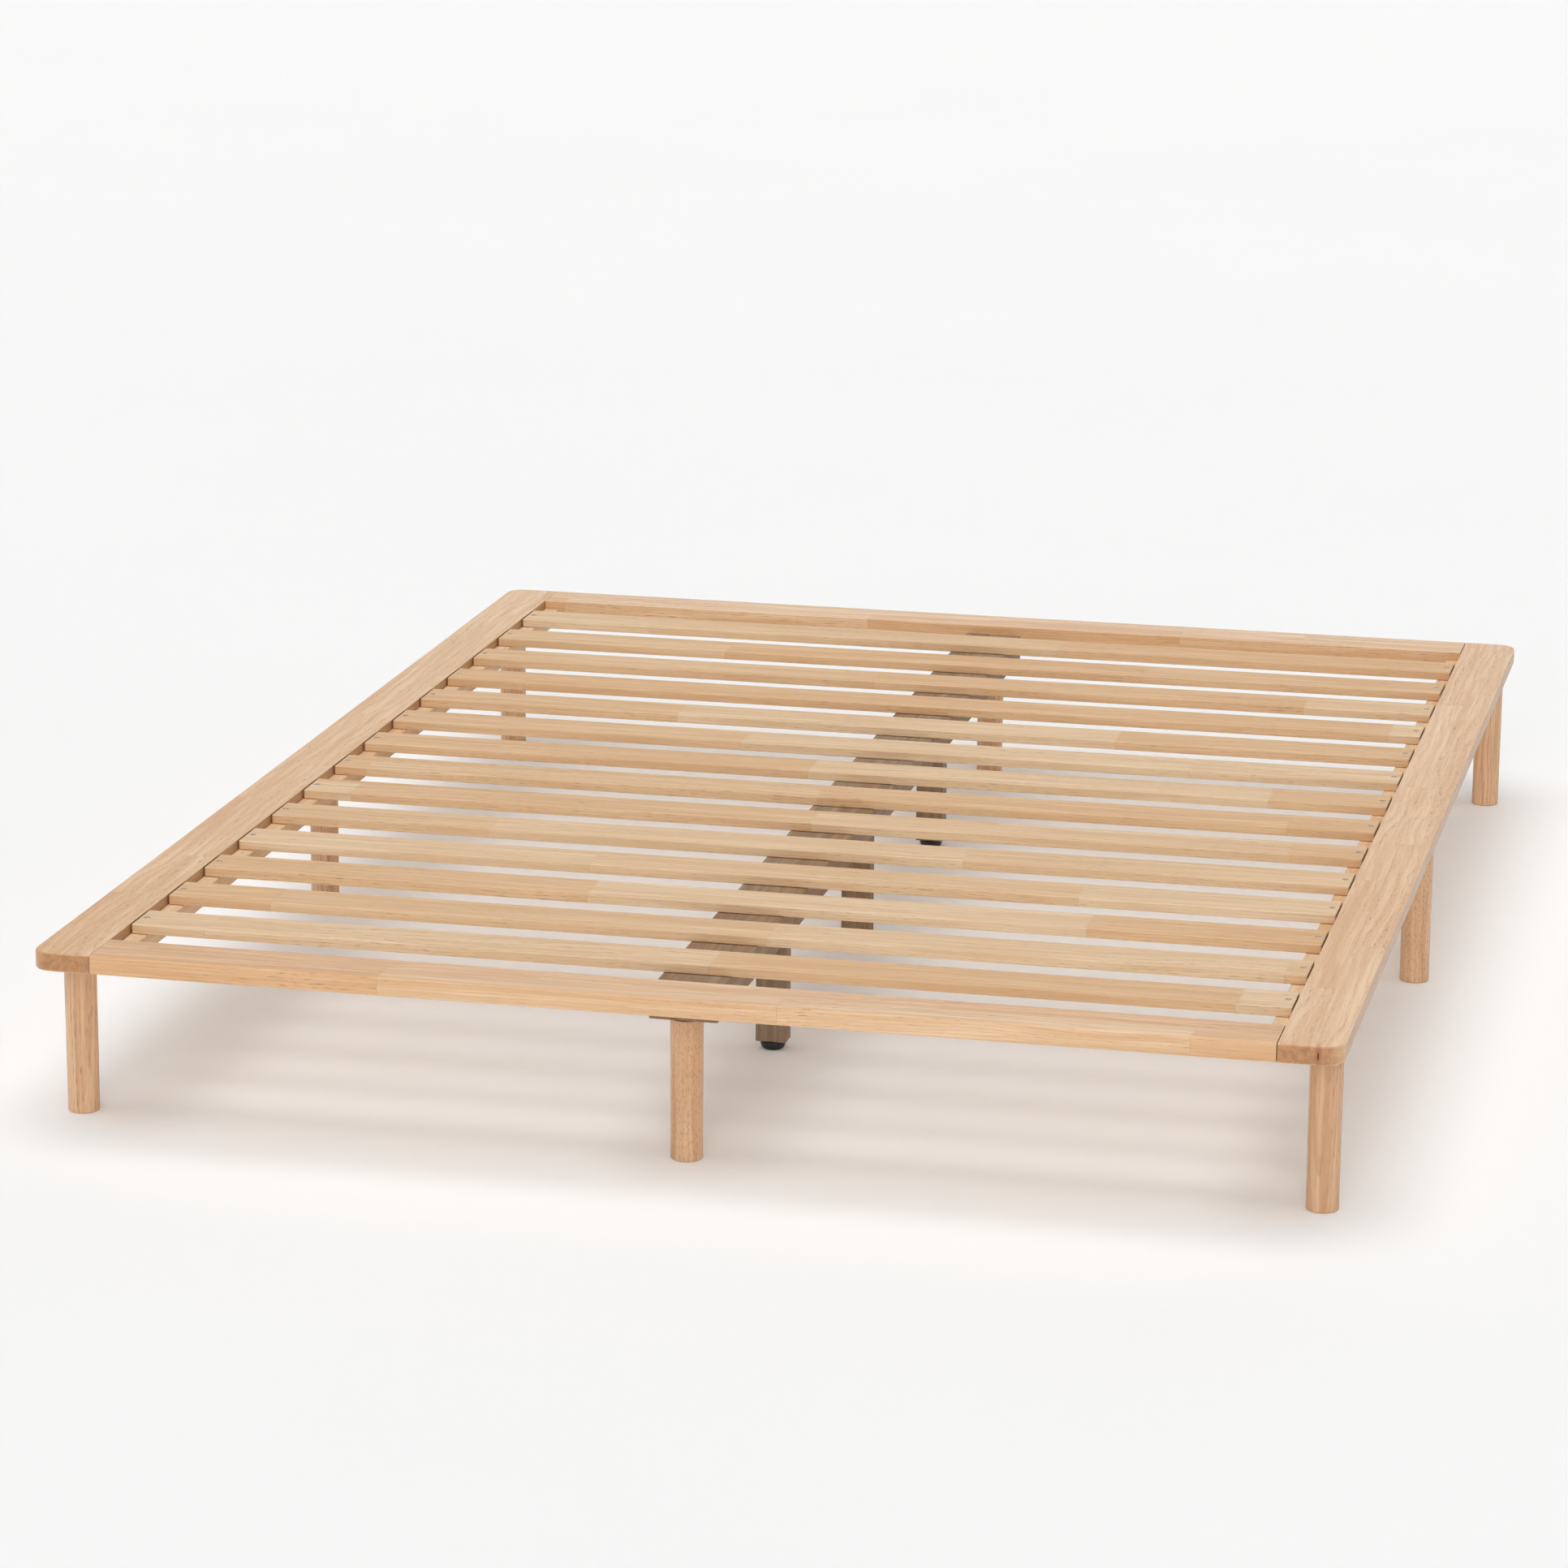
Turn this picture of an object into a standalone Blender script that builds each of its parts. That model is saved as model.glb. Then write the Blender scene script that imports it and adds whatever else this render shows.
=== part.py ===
"""Low wooden bed frame with slats, round legs and levelling feet under a centre beam.

Metres, +Z up. The origin is on the floor under the middle of the bed, the head end is +Y
and the right side is +X. Every touching pair of pieces keeps TOUCH_GAP between its faces.
"""

import math

import bmesh
import bpy
from mathutils import Matrix, Vector

INCH = 0.0254

# The whole frame.
FRAME_WIDTH = 61.00 * INCH
FRAME_LENGTH = 81.10 * INCH
FRAME_HEIGHT = 8.70 * INCH
TOUCH_GAP = 0.0003

# Rails: flat boards, the end rails butted between the side rails.
BOARD_THICKNESS = 0.023
SIDE_RAIL_WIDTH = 0.074
END_RAIL_WIDTH = 0.072
CORNER_RADIUS = 0.025
CORNER_STEPS = 6
RAIL_EDGE_ROUND = 0.003
EDGE_STEPS = 2

# Round legs, under the side rails and under the centre beam's ends.
LEG_TOP_RADIUS = 0.0195
LEG_FOOT_RADIUS = 0.019
LEG_FOOT_ROUND = 0.002
LEG_SIDE_INSET = 0.0284
LEG_END_INSET = 0.091
LEG_SIDES = 28

# Slats on the side cleats and the centre beam, their tops level with the rails.
SLAT_COUNT = 14
SLAT_WIDTH = 0.064
SLAT_THICKNESS = 0.012
SLAT_END_CLEARANCE = 0.002
SLAT_CHAMFER = 0.0015
CLEAT_WIDTH = 0.021
CLEAT_DEPTH = 0.021
CLEAT_CHAMFER = 0.001

# Centre beam and its squared support legs.
BEAM_WIDTH = 0.083
BEAM_DEPTH = 0.0365
BEAM_CHAMFER = 0.002
SUPPORT_WIDTH = 0.039
SUPPORT_DEPTH = 0.027
SUPPORT_CHAMFER = 0.001
SUPPORT_END_INSET = 0.534
SUPPORT_COUNT = 3

# Levelling feet: a plastic pad on a threaded stem that screws into the support leg.
PAD_RADIUS = 0.016
PAD_FLOOR_RADIUS = 0.0105
PAD_HEIGHT = 0.0107
PAD_ARC_STEPS = 5
PAD_SIDES = 24
STEM_RADIUS = 0.004
STEM_SEAT = 0.004
STEM_LENGTH = 0.037
STEM_RUNNING_CLEARANCE = 0.0003
STEM_END_ROOM = 0.003

# Threaded inserts and hanger bolts, and the holes that take them.
INSERT_RADIUS = 0.006
INSERT_LENGTH = 0.013
BOLT_RADIUS = 0.004
BOLT_IN_LEG = 0.028
BOLT_IN_INSERT = 0.012
FASTENER_SIDES = 12
HOLE_CLEARANCE = 0.0003

# Dowel holes in the rail joints.
DOWEL_RADIUS = 0.004
DOWEL_LENGTH = 0.030
DOWEL_SPACING = 0.036

# Steel joining plates and angle brackets, with their screws.
STEEL_THICKNESS = 0.0025
PLATE_LENGTH = 0.090
PLATE_WIDTH = 0.040
PLATE_SCREW_INNER = 0.015
PLATE_SCREW_OUTER = 0.031
BRACKET_WIDTH = 0.060
BRACKET_FLANGE = 0.045
BRACKET_DROP = 0.0205
BRACKET_SCREW_SPACING = 0.036
BRACKET_SCREW_FROM_BEND = 0.028
BRACKET_SCREW_DOWN = 0.0105
STEEL_CHAMFER = 0.0006

# Screw holes, from each screw's shank radius, head radius, head height and length.
SCREW_SIDES = 8
BRACKET_SCREW = (0.0020, 0.0038, 0.0022, 0.0160)
SLAT_SCREW = (0.0020, 0.0038, 0.0026, 0.0240)
CLEAT_SCREW = (0.0020, 0.0038, 0.0026, 0.0400)
CLEAT_SCREW_COUNT = 5
HEAD_SINK = 0.0004
MOUTH_OPENING = 0.0010

# Heights and places that follow from the sizes above.
RAIL_TOP = FRAME_HEIGHT
RAIL_BOTTOM = RAIL_TOP - BOARD_THICKNESS
RAIL_MIDDLE = RAIL_TOP - BOARD_THICKNESS / 2
SLAT_BOTTOM = RAIL_TOP - SLAT_THICKNESS
BEARER_TOP = SLAT_BOTTOM - TOUCH_GAP
BEAM_BOTTOM = BEARER_TOP - BEAM_DEPTH
SIDE_EDGE = FRAME_WIDTH / 2
SIDE_RAIL_INNER = SIDE_EDGE - SIDE_RAIL_WIDTH
END_RAIL_INNER = FRAME_LENGTH / 2 - END_RAIL_WIDTH
END_RAIL_MIDDLE = FRAME_LENGTH / 2 - END_RAIL_WIDTH / 2
CLEAT_MIDDLE = SIDE_RAIL_INNER - TOUCH_GAP - CLEAT_WIDTH / 2
LEG_X = SIDE_EDGE - LEG_SIDE_INSET
LEG_Y = FRAME_LENGTH / 2 - LEG_END_INSET
SUPPORT_BOTTOM = PAD_HEIGHT + TOUCH_GAP
SUPPORT_REACH = FRAME_LENGTH / 2 - SUPPORT_END_INSET
BRACKET_TOP = RAIL_BOTTOM - TOUCH_GAP

# Colours as linear RGB, then roughness and metallic.
RAIL_WOOD = ((0.70, 0.46, 0.25), 0.45, 0.0)
LEG_WOOD = ((0.62, 0.38, 0.19), 0.50, 0.0)
SLAT_WOOD = ((0.68, 0.50, 0.31), 0.65, 0.0)
BEAM_WOOD = ((0.55, 0.36, 0.20), 0.65, 0.0)
ZINC_STEEL = ((0.56, 0.56, 0.54), 0.35, 1.0)
BRASS = ((0.60, 0.45, 0.20), 0.40, 1.0)
BLACK_PLASTIC = ((0.015, 0.015, 0.015), 0.40, 0.0)

UP = Matrix.Identity(4)
DOWN = Matrix.Rotation(math.pi, 4, "X")
TOWARDS_RIGHT = Matrix.Rotation(math.pi / 2, 4, "Y")
TOWARDS_LEFT = Matrix.Rotation(-math.pi / 2, 4, "Y")
TOWARDS_HEAD = Matrix.Rotation(-math.pi / 2, 4, "X")
TOWARDS_FOOT = Matrix.Rotation(math.pi / 2, 4, "X")


def clear_scene():
    for old in list(bpy.data.objects):
        bpy.data.objects.remove(old, do_unlink=True)


def new_collection(name):
    collection = bpy.data.collections.new(name)
    bpy.context.scene.collection.children.link(collection)
    return collection


def add_finish(obj, finish):
    """Gives the object a plain material of its own: colour, roughness and metallic."""
    colour, roughness, metallic = finish
    material = bpy.data.materials.new(obj.name)
    material.use_nodes = True
    shader = material.node_tree.nodes["Principled BSDF"]
    shader.inputs["Base Color"].default_value = (*colour, 1.0)
    shader.inputs["Roughness"].default_value = roughness
    shader.inputs["Metallic"].default_value = metallic
    obj.data.materials.clear()
    obj.data.materials.append(material)


def add_part(name, mesh, finish, location=(0, 0, 0), parent=None, smooth=False):
    """Makes a named piece, hung on the frame's empty or on another piece."""
    obj = bpy.data.objects.new(name, mesh)
    parts.objects.link(obj)
    obj.location = location
    obj.parent = parent or frame
    add_finish(obj, finish)
    if smooth:
        mesh.shade_smooth()
        mesh.set_sharp_from_angle(angle=math.radians(40))
    return obj


def mesh_from(bm, name):
    bmesh.ops.recalc_face_normals(bm, faces=bm.faces)
    mesh = bpy.data.meshes.new(name)
    bm.to_mesh(mesh)
    bm.free()
    return mesh


def box_bmesh(size):
    """A box centred on the origin."""
    bm = bmesh.new()
    bmesh.ops.create_cube(bm, size=1.0)
    bmesh.ops.scale(bm, vec=size, verts=bm.verts)
    return bm


def bevel_edges(bm, edges, width, steps):
    bmesh.ops.bevel(
        bm, geom=edges, offset=width, offset_type="OFFSET", segments=steps, profile=0.5, affect="EDGES"
    )


def chamfered_box(name, size, chamfer):
    """A box with every edge cut at 45 degrees."""
    bm = box_bmesh(size)
    bevel_edges(bm, list(bm.edges), chamfer, 1)
    return mesh_from(bm, name)


def turned_mesh(name, profile, sides, ring=False):
    """Turns a profile of (radius, height) points about the Z axis.

    The points run from axis to axis with the outer side going down, or round a closed ring.
    """
    outline = bpy.data.meshes.new(name + "_profile")
    points = [(radius, 0.0, height) for radius, height in profile]
    edges = [(index, index + 1) for index in range(len(points) - 1)]
    if ring:
        edges.append((len(points) - 1, 0))
    outline.from_pydata(points, edges, [])
    lathe = bpy.data.objects.new(name + "_lathe", outline)
    cutters.objects.link(lathe)
    screw = lathe.modifiers.new("turn", "SCREW")
    screw.steps = sides
    screw.render_steps = sides
    screw.use_merge_vertices = True
    screw.merge_threshold = 0.00002
    graph = bpy.context.evaluated_depsgraph_get()
    turned = bpy.data.meshes.new_from_object(lathe.evaluated_get(graph))
    turned.name = name
    bpy.data.objects.remove(lathe)
    bpy.data.meshes.remove(outline)
    return turned


def group_mesh(name, pattern, places):
    """Joins copies of one closed body, each put in its place by a matrix."""
    bm = bmesh.new()
    for place in places:
        first = len(bm.verts)
        bm.from_mesh(pattern)
        bm.verts.ensure_lookup_table()
        bmesh.ops.transform(bm, matrix=place, verts=bm.verts[first:])
    return mesh_from(bm, name)


def at(x, y, z, turn=UP):
    """The matrix of a place: a fastener's +Z is turned, then moved to the point."""
    return Matrix.Translation(Vector((x, y, z))) @ turn


def cut(obj, name, pattern, places):
    """Cuts a copy of the pattern out of the piece at each place, given in world space."""
    cutter = bpy.data.objects.new(obj.name + "_" + name, group_mesh(name, pattern, places))
    cutters.objects.link(cutter)
    cutter.hide_render = True
    cutter.display_type = "WIRE"
    boolean = obj.modifiers.new(name, "BOOLEAN")
    boolean.operation = "DIFFERENCE"
    boolean.solver = "EXACT"
    boolean.object = cutter


def rod_profile(radius, top, bottom):
    """A plain round rod between two heights."""
    return [(0.0, top), (radius, top), (radius, bottom), (0.0, bottom)]


def countersunk_hole_profile(sizes):
    """The hole of a countersunk screw: its mouth is at height 0 and opens upwards."""
    shank, head, head_height, length = sizes
    return [
        (0.0, MOUTH_OPENING),
        (head + HOLE_CLEARANCE, MOUTH_OPENING),
        (head + HOLE_CLEARANCE, -HOLE_CLEARANCE),
        (shank + HOLE_CLEARANCE, -head_height - HOLE_CLEARANCE),
        (shank + HOLE_CLEARANCE, -length - shank - HOLE_CLEARANCE),
        (0.0, -length - shank - HOLE_CLEARANCE),
    ]


def pan_hole_profile(sizes):
    """The straight hole of a pan-head screw whose head's crown is at height 0."""
    shank, head, head_height, length = sizes
    return rod_profile(shank + HOLE_CLEARANCE, -head_height / 2, -length - shank - HOLE_CLEARANCE)


def build_side_rails():
    """Full-length boards: outer corners rounded, edges eased except beside the slats."""
    leg_holes = turned_mesh(
        "insert_hole",
        rod_profile(INSERT_RADIUS + HOLE_CLEARANCE, INSERT_LENGTH + 2 * TOUCH_GAP, -TOUCH_GAP),
        FASTENER_SIDES,
    )
    for side, name in ((-1, "side_rail_left"), (1, "side_rail_right")):
        bm = box_bmesh((SIDE_RAIL_WIDTH, FRAME_LENGTH, BOARD_THICKNESS))
        outer = side * SIDE_RAIL_WIDTH / 2
        upright = [e for e in bm.edges if all(v.co.x * outer > 0 for v in e.verts)]
        upright = [e for e in upright if abs(e.verts[0].co.z - e.verts[1].co.z) > TOUCH_GAP]
        bevel_edges(bm, upright, CORNER_RADIUS, CORNER_STEPS)
        rims = [e for e in bm.edges if abs(e.verts[0].co.z - e.verts[1].co.z) < TOUCH_GAP]
        rims = [e for e in rims if any(abs(v.co.x + outer) > TOUCH_GAP for v in e.verts)]
        bevel_edges(bm, rims, RAIL_EDGE_ROUND, EDGE_STEPS)
        middle = side * (SIDE_EDGE - SIDE_RAIL_WIDTH / 2)
        rail = add_part(name, mesh_from(bm, name), RAIL_WOOD, (middle, 0, RAIL_MIDDLE), smooth=True)
        leg_places = [at(side * LEG_X, y, RAIL_BOTTOM) for y in (-LEG_Y, 0, LEG_Y)]
        cut(rail, "leg_insert_holes", leg_holes, leg_places)
        cut(rail, "dowel_holes", dowel_hole, [p for s, e, p in dowel_places() if s == side])
        plate_holes = [p for s, x, p in plate_screw_places() if s == side and x > SIDE_RAIL_INNER]
        cut(rail, "plate_screw_holes", bracket_screw_hole, plate_holes)
        cut(rail, "cleat_screw_holes", cleat_screw_hole, cleat_screw_places(side))


def build_end_rails():
    """Boards between the side rails: square ends, eased long edges."""
    length = 2 * (SIDE_RAIL_INNER - TOUCH_GAP)
    for end, name in ((-1, "foot_rail"), (1, "head_rail")):
        bm = box_bmesh((length, END_RAIL_WIDTH, BOARD_THICKNESS))
        long_edges = [e for e in bm.edges if abs(e.verts[0].co.x - e.verts[1].co.x) > TOUCH_GAP]
        outer_edges = [e for e in long_edges if e.verts[0].co.y * end > 0]
        inner_edges = [e for e in long_edges if e.verts[0].co.y * end < 0]
        bevel_edges(bm, outer_edges, RAIL_EDGE_ROUND, EDGE_STEPS)
        bevel_edges(bm, inner_edges, CLEAT_CHAMFER, 1)
        place = (0, end * END_RAIL_MIDDLE, RAIL_MIDDLE)
        rail = add_part(name, mesh_from(bm, name), RAIL_WOOD, place, smooth=True)
        cut(rail, "dowel_holes", dowel_hole, [p for s, e, p in dowel_places() if e == end])
        plate_holes = [
            p for s, x, p in plate_screw_places() if x < SIDE_RAIL_INNER and p.translation.y * end > 0
        ]
        cut(rail, "plate_screw_holes", bracket_screw_hole, plate_holes)
        flange_holes = [p for e, kind, p in bracket_screw_places() if e == end and kind == "rail"]
        cut(rail, "bracket_screw_holes", bracket_screw_hole, flange_holes)


def leg_profile(height):
    """A tapered round leg with a blind bolt hole in its top, from the hole to the foot."""
    hole = BOLT_RADIUS + HOLE_CLEARANCE
    hole_floor = height - BOLT_IN_LEG - HOLE_CLEARANCE
    round_points = []
    for step in range(3):
        angle = step / 2 * math.pi / 2
        radius = LEG_FOOT_RADIUS - LEG_FOOT_ROUND * (1 - math.cos(angle))
        round_points.append((radius, LEG_FOOT_ROUND * (1 - math.sin(angle))))
    return [
        (0.0, hole_floor),
        (hole, hole_floor),
        (hole, height),
        (LEG_TOP_RADIUS, height),
        *round_points,
        (0.0, 0.0),
    ]


def leg_places():
    """Name, x, y and top height of every round leg."""
    rail_seat = RAIL_BOTTOM - TOUCH_GAP
    beam_seat = BEAM_BOTTOM - TOUCH_GAP
    return [
        ("leg_foot_left", -LEG_X, -LEG_Y, rail_seat),
        ("leg_foot_right", LEG_X, -LEG_Y, rail_seat),
        ("leg_head_left", -LEG_X, LEG_Y, rail_seat),
        ("leg_head_right", LEG_X, LEG_Y, rail_seat),
        ("leg_side_left", -LEG_X, 0.0, rail_seat),
        ("leg_side_right", LEG_X, 0.0, rail_seat),
        ("leg_foot_centre", 0.0, -LEG_Y, beam_seat),
        ("leg_head_centre", 0.0, LEG_Y, beam_seat),
    ]


def support_places():
    """Y of each support leg along the beam, evenly spaced between the outer two."""
    step = 2 * SUPPORT_REACH / (SUPPORT_COUNT - 1)
    return [-SUPPORT_REACH + step * index for index in range(SUPPORT_COUNT)]


def build_legs():
    for name, x, y, top in leg_places():
        mesh = turned_mesh(name, leg_profile(top), LEG_SIDES)
        add_part(name, mesh, LEG_WOOD, (x, y, 0), smooth=True)


def dowel_places():
    """Side, end and matrix of each rail dowel; its +Z points out of the end rail."""
    places = []
    for end in (-1, 1):
        for side, turn in ((-1, TOWARDS_LEFT), (1, TOWARDS_RIGHT)):
            for offset in (-DOWEL_SPACING / 2, DOWEL_SPACING / 2):
                y = end * END_RAIL_MIDDLE + offset
                places.append((side, end, at(side * SIDE_RAIL_INNER, y, RAIL_MIDDLE, turn)))
    return places


def plate_screw_places():
    """Side, distance from the bed's middle line and matrix of each joining plate screw."""
    head = BRACKET_TOP - STEEL_THICKNESS - TOUCH_GAP - BRACKET_SCREW[2]
    offsets = (-PLATE_SCREW_OUTER, -PLATE_SCREW_INNER, PLATE_SCREW_INNER, PLATE_SCREW_OUTER)
    places = []
    for end in (-1, 1):
        for side in (-1, 1):
            for offset in offsets:
                x = SIDE_RAIL_INNER + offset
                places.append((side, x, at(side * x, end * END_RAIL_MIDDLE, head, DOWN)))
    return places


def bracket_screw_places():
    """End, the piece it holds and matrix of each screw of the beam's two brackets."""
    below = BRACKET_TOP - STEEL_THICKNESS - TOUCH_GAP - BRACKET_SCREW[2]
    outside = END_RAIL_INNER + STEEL_THICKNESS + TOUCH_GAP + BRACKET_SCREW[2]
    places = []
    for end in (-1, 1):
        for x in (-BRACKET_SCREW_SPACING / 2, BRACKET_SCREW_SPACING / 2):
            flange_y = end * (END_RAIL_INNER + BRACKET_SCREW_FROM_BEND)
            places.append((end, "rail", at(x, flange_y, below, DOWN)))
            turn = TOWARDS_FOOT if end < 0 else TOWARDS_HEAD
            beam_z = BRACKET_TOP - BRACKET_SCREW_DOWN
            places.append((end, "beam", at(x, end * outside, beam_z, turn)))
    return places


def cleat_screw_places(side):
    """Matrices of a cleat's screws, between slats and half-way up where it meets the rail."""
    turn = TOWARDS_LEFT if side > 0 else TOWARDS_RIGHT
    x = side * (CLEAT_MIDDLE - CLEAT_WIDTH / 2 + HEAD_SINK)
    z = (BEARER_TOP + RAIL_BOTTOM) / 2
    gaps = slat_gap_places()
    last = len(gaps) - 1
    picks = [round(last * index / (CLEAT_SCREW_COUNT - 1)) for index in range(CLEAT_SCREW_COUNT)]
    return [at(x, gaps[pick], z, turn) for pick in picks]


def slat_pitch():
    clear_length = 2 * END_RAIL_INNER
    gap = (clear_length - SLAT_COUNT * SLAT_WIDTH) / (SLAT_COUNT + 1)
    return gap, gap + SLAT_WIDTH


def slat_places():
    """Y of each slat's middle, foot to head, with the same gap everywhere."""
    gap, pitch = slat_pitch()
    return [-END_RAIL_INNER + gap + SLAT_WIDTH / 2 + pitch * index for index in range(SLAT_COUNT)]


def slat_gap_places():
    """Y of the middle of each gap between neighbouring slats."""
    centres = slat_places()
    return [(low + high) / 2 for low, high in zip(centres, centres[1:])]


def slat_screw_places(y):
    """Matrices of one slat's two screws, over the middles of the side cleats."""
    return [at(side * CLEAT_MIDDLE, y, RAIL_TOP - HEAD_SINK) for side in (-1, 1)]


def build_slats():
    size = (2 * (SIDE_RAIL_INNER - SLAT_END_CLEARANCE), SLAT_WIDTH, SLAT_THICKNESS)
    for index, y in enumerate(slat_places(), start=1):
        name = f"slat_{index:02d}"
        place = (0, y, RAIL_TOP - SLAT_THICKNESS / 2)
        slat = add_part(name, chamfered_box(name, size, SLAT_CHAMFER), SLAT_WOOD, place)
        cut(slat, "screw_holes", slat_screw_hole, slat_screw_places(y))


def build_cleats():
    """Square ledgers along the side rails' inner faces."""
    length = 2 * (END_RAIL_INNER - TOUCH_GAP)
    for side, name in ((-1, "side_cleat_left"), (1, "side_cleat_right")):
        mesh = chamfered_box(name, (CLEAT_WIDTH, length, CLEAT_DEPTH), CLEAT_CHAMFER)
        place = (side * CLEAT_MIDDLE, 0, BEARER_TOP - CLEAT_DEPTH / 2)
        cleat = add_part(name, mesh, SLAT_WOOD, place)
        holes = [p for y in slat_places() for p in slat_screw_places(y) if p.translation.x * side > 0]
        cut(cleat, "slat_screw_holes", slat_screw_hole, holes)
        cut(cleat, "cleat_screw_holes", cleat_screw_hole, cleat_screw_places(side))


def build_beam():
    """The centre beam under the slats, end rail to end rail."""
    length = 2 * (END_RAIL_INNER - TOUCH_GAP)
    mesh = chamfered_box("centre_beam", (BEAM_WIDTH, length, BEAM_DEPTH), BEAM_CHAMFER)
    beam = add_part("centre_beam", mesh, BEAM_WOOD, (0, 0, BEARER_TOP - BEAM_DEPTH / 2))
    hole = turned_mesh(
        "beam_insert_hole",
        rod_profile(INSERT_RADIUS + HOLE_CLEARANCE, INSERT_LENGTH + 2 * TOUCH_GAP, -TOUCH_GAP),
        FASTENER_SIDES,
    )
    rows = [-LEG_Y, *support_places(), LEG_Y]
    cut(beam, "leg_insert_holes", hole, [at(0, y, BEAM_BOTTOM) for y in rows])
    end_screws = [p for e, kind, p in bracket_screw_places() if kind == "beam"]
    cut(beam, "bracket_screw_holes", bracket_screw_hole, end_screws)


def build_support_legs():
    """Squared legs: a bolt hole in the top, an insert hole and a stem hole in the bottom."""
    top = BEAM_BOTTOM - TOUCH_GAP
    height = top - SUPPORT_BOTTOM
    bolt_hole = turned_mesh(
        "bolt_hole",
        rod_profile(BOLT_RADIUS + HOLE_CLEARANCE, TOUCH_GAP, -BOLT_IN_LEG - HOLE_CLEARANCE),
        FASTENER_SIDES,
    )
    wide = INSERT_RADIUS + HOLE_CLEARANCE
    narrow = STEM_RADIUS + HOLE_CLEARANCE
    shoulder = INSERT_LENGTH + TOUCH_GAP
    depth = STEM_SEAT + STEM_LENGTH - SUPPORT_BOTTOM + STEM_END_ROOM
    stem_hole = turned_mesh(
        "stem_hole",
        [
            (0.0, depth),
            (narrow, depth),
            (narrow, shoulder),
            (wide, shoulder),
            (wide, -TOUCH_GAP),
            (0.0, -TOUCH_GAP),
        ],
        FASTENER_SIDES,
    )
    for index, y in enumerate(support_places(), start=1):
        name = f"support_leg_{index}"
        mesh = chamfered_box(name, (SUPPORT_WIDTH, SUPPORT_DEPTH, height), SUPPORT_CHAMFER)
        leg = add_part(name, mesh, BEAM_WOOD, (0, y, SUPPORT_BOTTOM + height / 2))
        cut(leg, "bolt_hole", bolt_hole, [at(0, y, top)])
        cut(leg, "stem_hole", stem_hole, [at(0, y, SUPPORT_BOTTOM)])


def pad_profile():
    """A domed pad: flat on the floor, a quarter ellipse up to its rim, the stem's seat on top."""
    seat = STEM_RADIUS + STEM_RUNNING_CLEARANCE
    seat_floor = STEM_SEAT - TOUCH_GAP
    bulge = PAD_RADIUS - PAD_FLOOR_RADIUS
    dome = []
    for step in range(PAD_ARC_STEPS + 1):
        angle = step / PAD_ARC_STEPS * math.pi / 2
        dome.append((PAD_FLOOR_RADIUS + bulge * math.cos(angle), PAD_HEIGHT * (1 - math.sin(angle))))
    return [(0.0, seat_floor), (seat, seat_floor), (seat, PAD_HEIGHT), *dome, (0.0, 0.0)]


def build_levelling_feet():
    """Each foot is a pad that slides down its axis and a stem that turns in the pad."""
    stem_top = STEM_SEAT + STEM_LENGTH
    for index, y in enumerate(support_places(), start=1):
        axis = bpy.data.objects.new(f"levelling_axis_{index}", None)
        parts.objects.link(axis)
        axis.location = (0, y, 0)
        axis.parent = frame
        pad_mesh = turned_mesh(f"levelling_pad_{index}", pad_profile(), PAD_SIDES)
        add_part(pad_mesh.name, pad_mesh, BLACK_PLASTIC, parent=axis, smooth=True)
        stem_mesh = turned_mesh(
            f"levelling_stem_{index}", rod_profile(STEM_RADIUS, stem_top, STEM_SEAT), FASTENER_SIDES
        )
        add_part(stem_mesh.name, stem_mesh, ZINC_STEEL, parent=axis, smooth=True)


def build_leg_bolts():
    """A hanger bolt in the top of every leg, reaching up into the piece above."""
    tops = [(name.replace("leg", "leg_bolt"), x, y, top) for name, x, y, top in leg_places()]
    beam_seat = BEAM_BOTTOM - TOUCH_GAP
    for index, y in enumerate(support_places(), start=1):
        tops.append((f"support_bolt_{index}", 0.0, y, beam_seat))
    profile = rod_profile(BOLT_RADIUS, BOLT_IN_INSERT, -BOLT_IN_LEG)
    for name, x, y, top in tops:
        mesh = turned_mesh(name, profile, FASTENER_SIDES)
        add_part(name, mesh, ZINC_STEEL, (x, y, top), smooth=True)


def build_levelling_inserts():
    """A threaded sleeve in the bottom of each support leg, round the levelling stem."""
    bore = STEM_RADIUS + STEM_RUNNING_CLEARANCE
    profile = [(bore, INSERT_LENGTH), (INSERT_RADIUS, INSERT_LENGTH), (INSERT_RADIUS, 0.0), (bore, 0.0)]
    for index, y in enumerate(support_places(), start=1):
        name = f"levelling_insert_{index}"
        mesh = turned_mesh(name, profile, FASTENER_SIDES, ring=True)
        add_part(name, mesh, BRASS, (0, y, SUPPORT_BOTTOM), smooth=True)


def build_joining_plates():
    """Flat steel plates under the four rail joints."""
    size = (PLATE_LENGTH, PLATE_WIDTH, STEEL_THICKNESS)
    z = BRACKET_TOP - STEEL_THICKNESS / 2
    for end, end_name in ((-1, "foot"), (1, "head")):
        for side, side_name in ((-1, "left"), (1, "right")):
            name = f"joining_plate_{end_name}_{side_name}"
            place = (side * SIDE_RAIL_INNER, end * END_RAIL_MIDDLE, z)
            plate = add_part(name, chamfered_box(name, size, STEEL_CHAMFER), ZINC_STEEL, place)
            holes = [p for s, x, p in plate_screw_places() if s == side and p.translation.y * end > 0]
            cut(plate, "screw_holes", bracket_screw_hole, holes)


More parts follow.
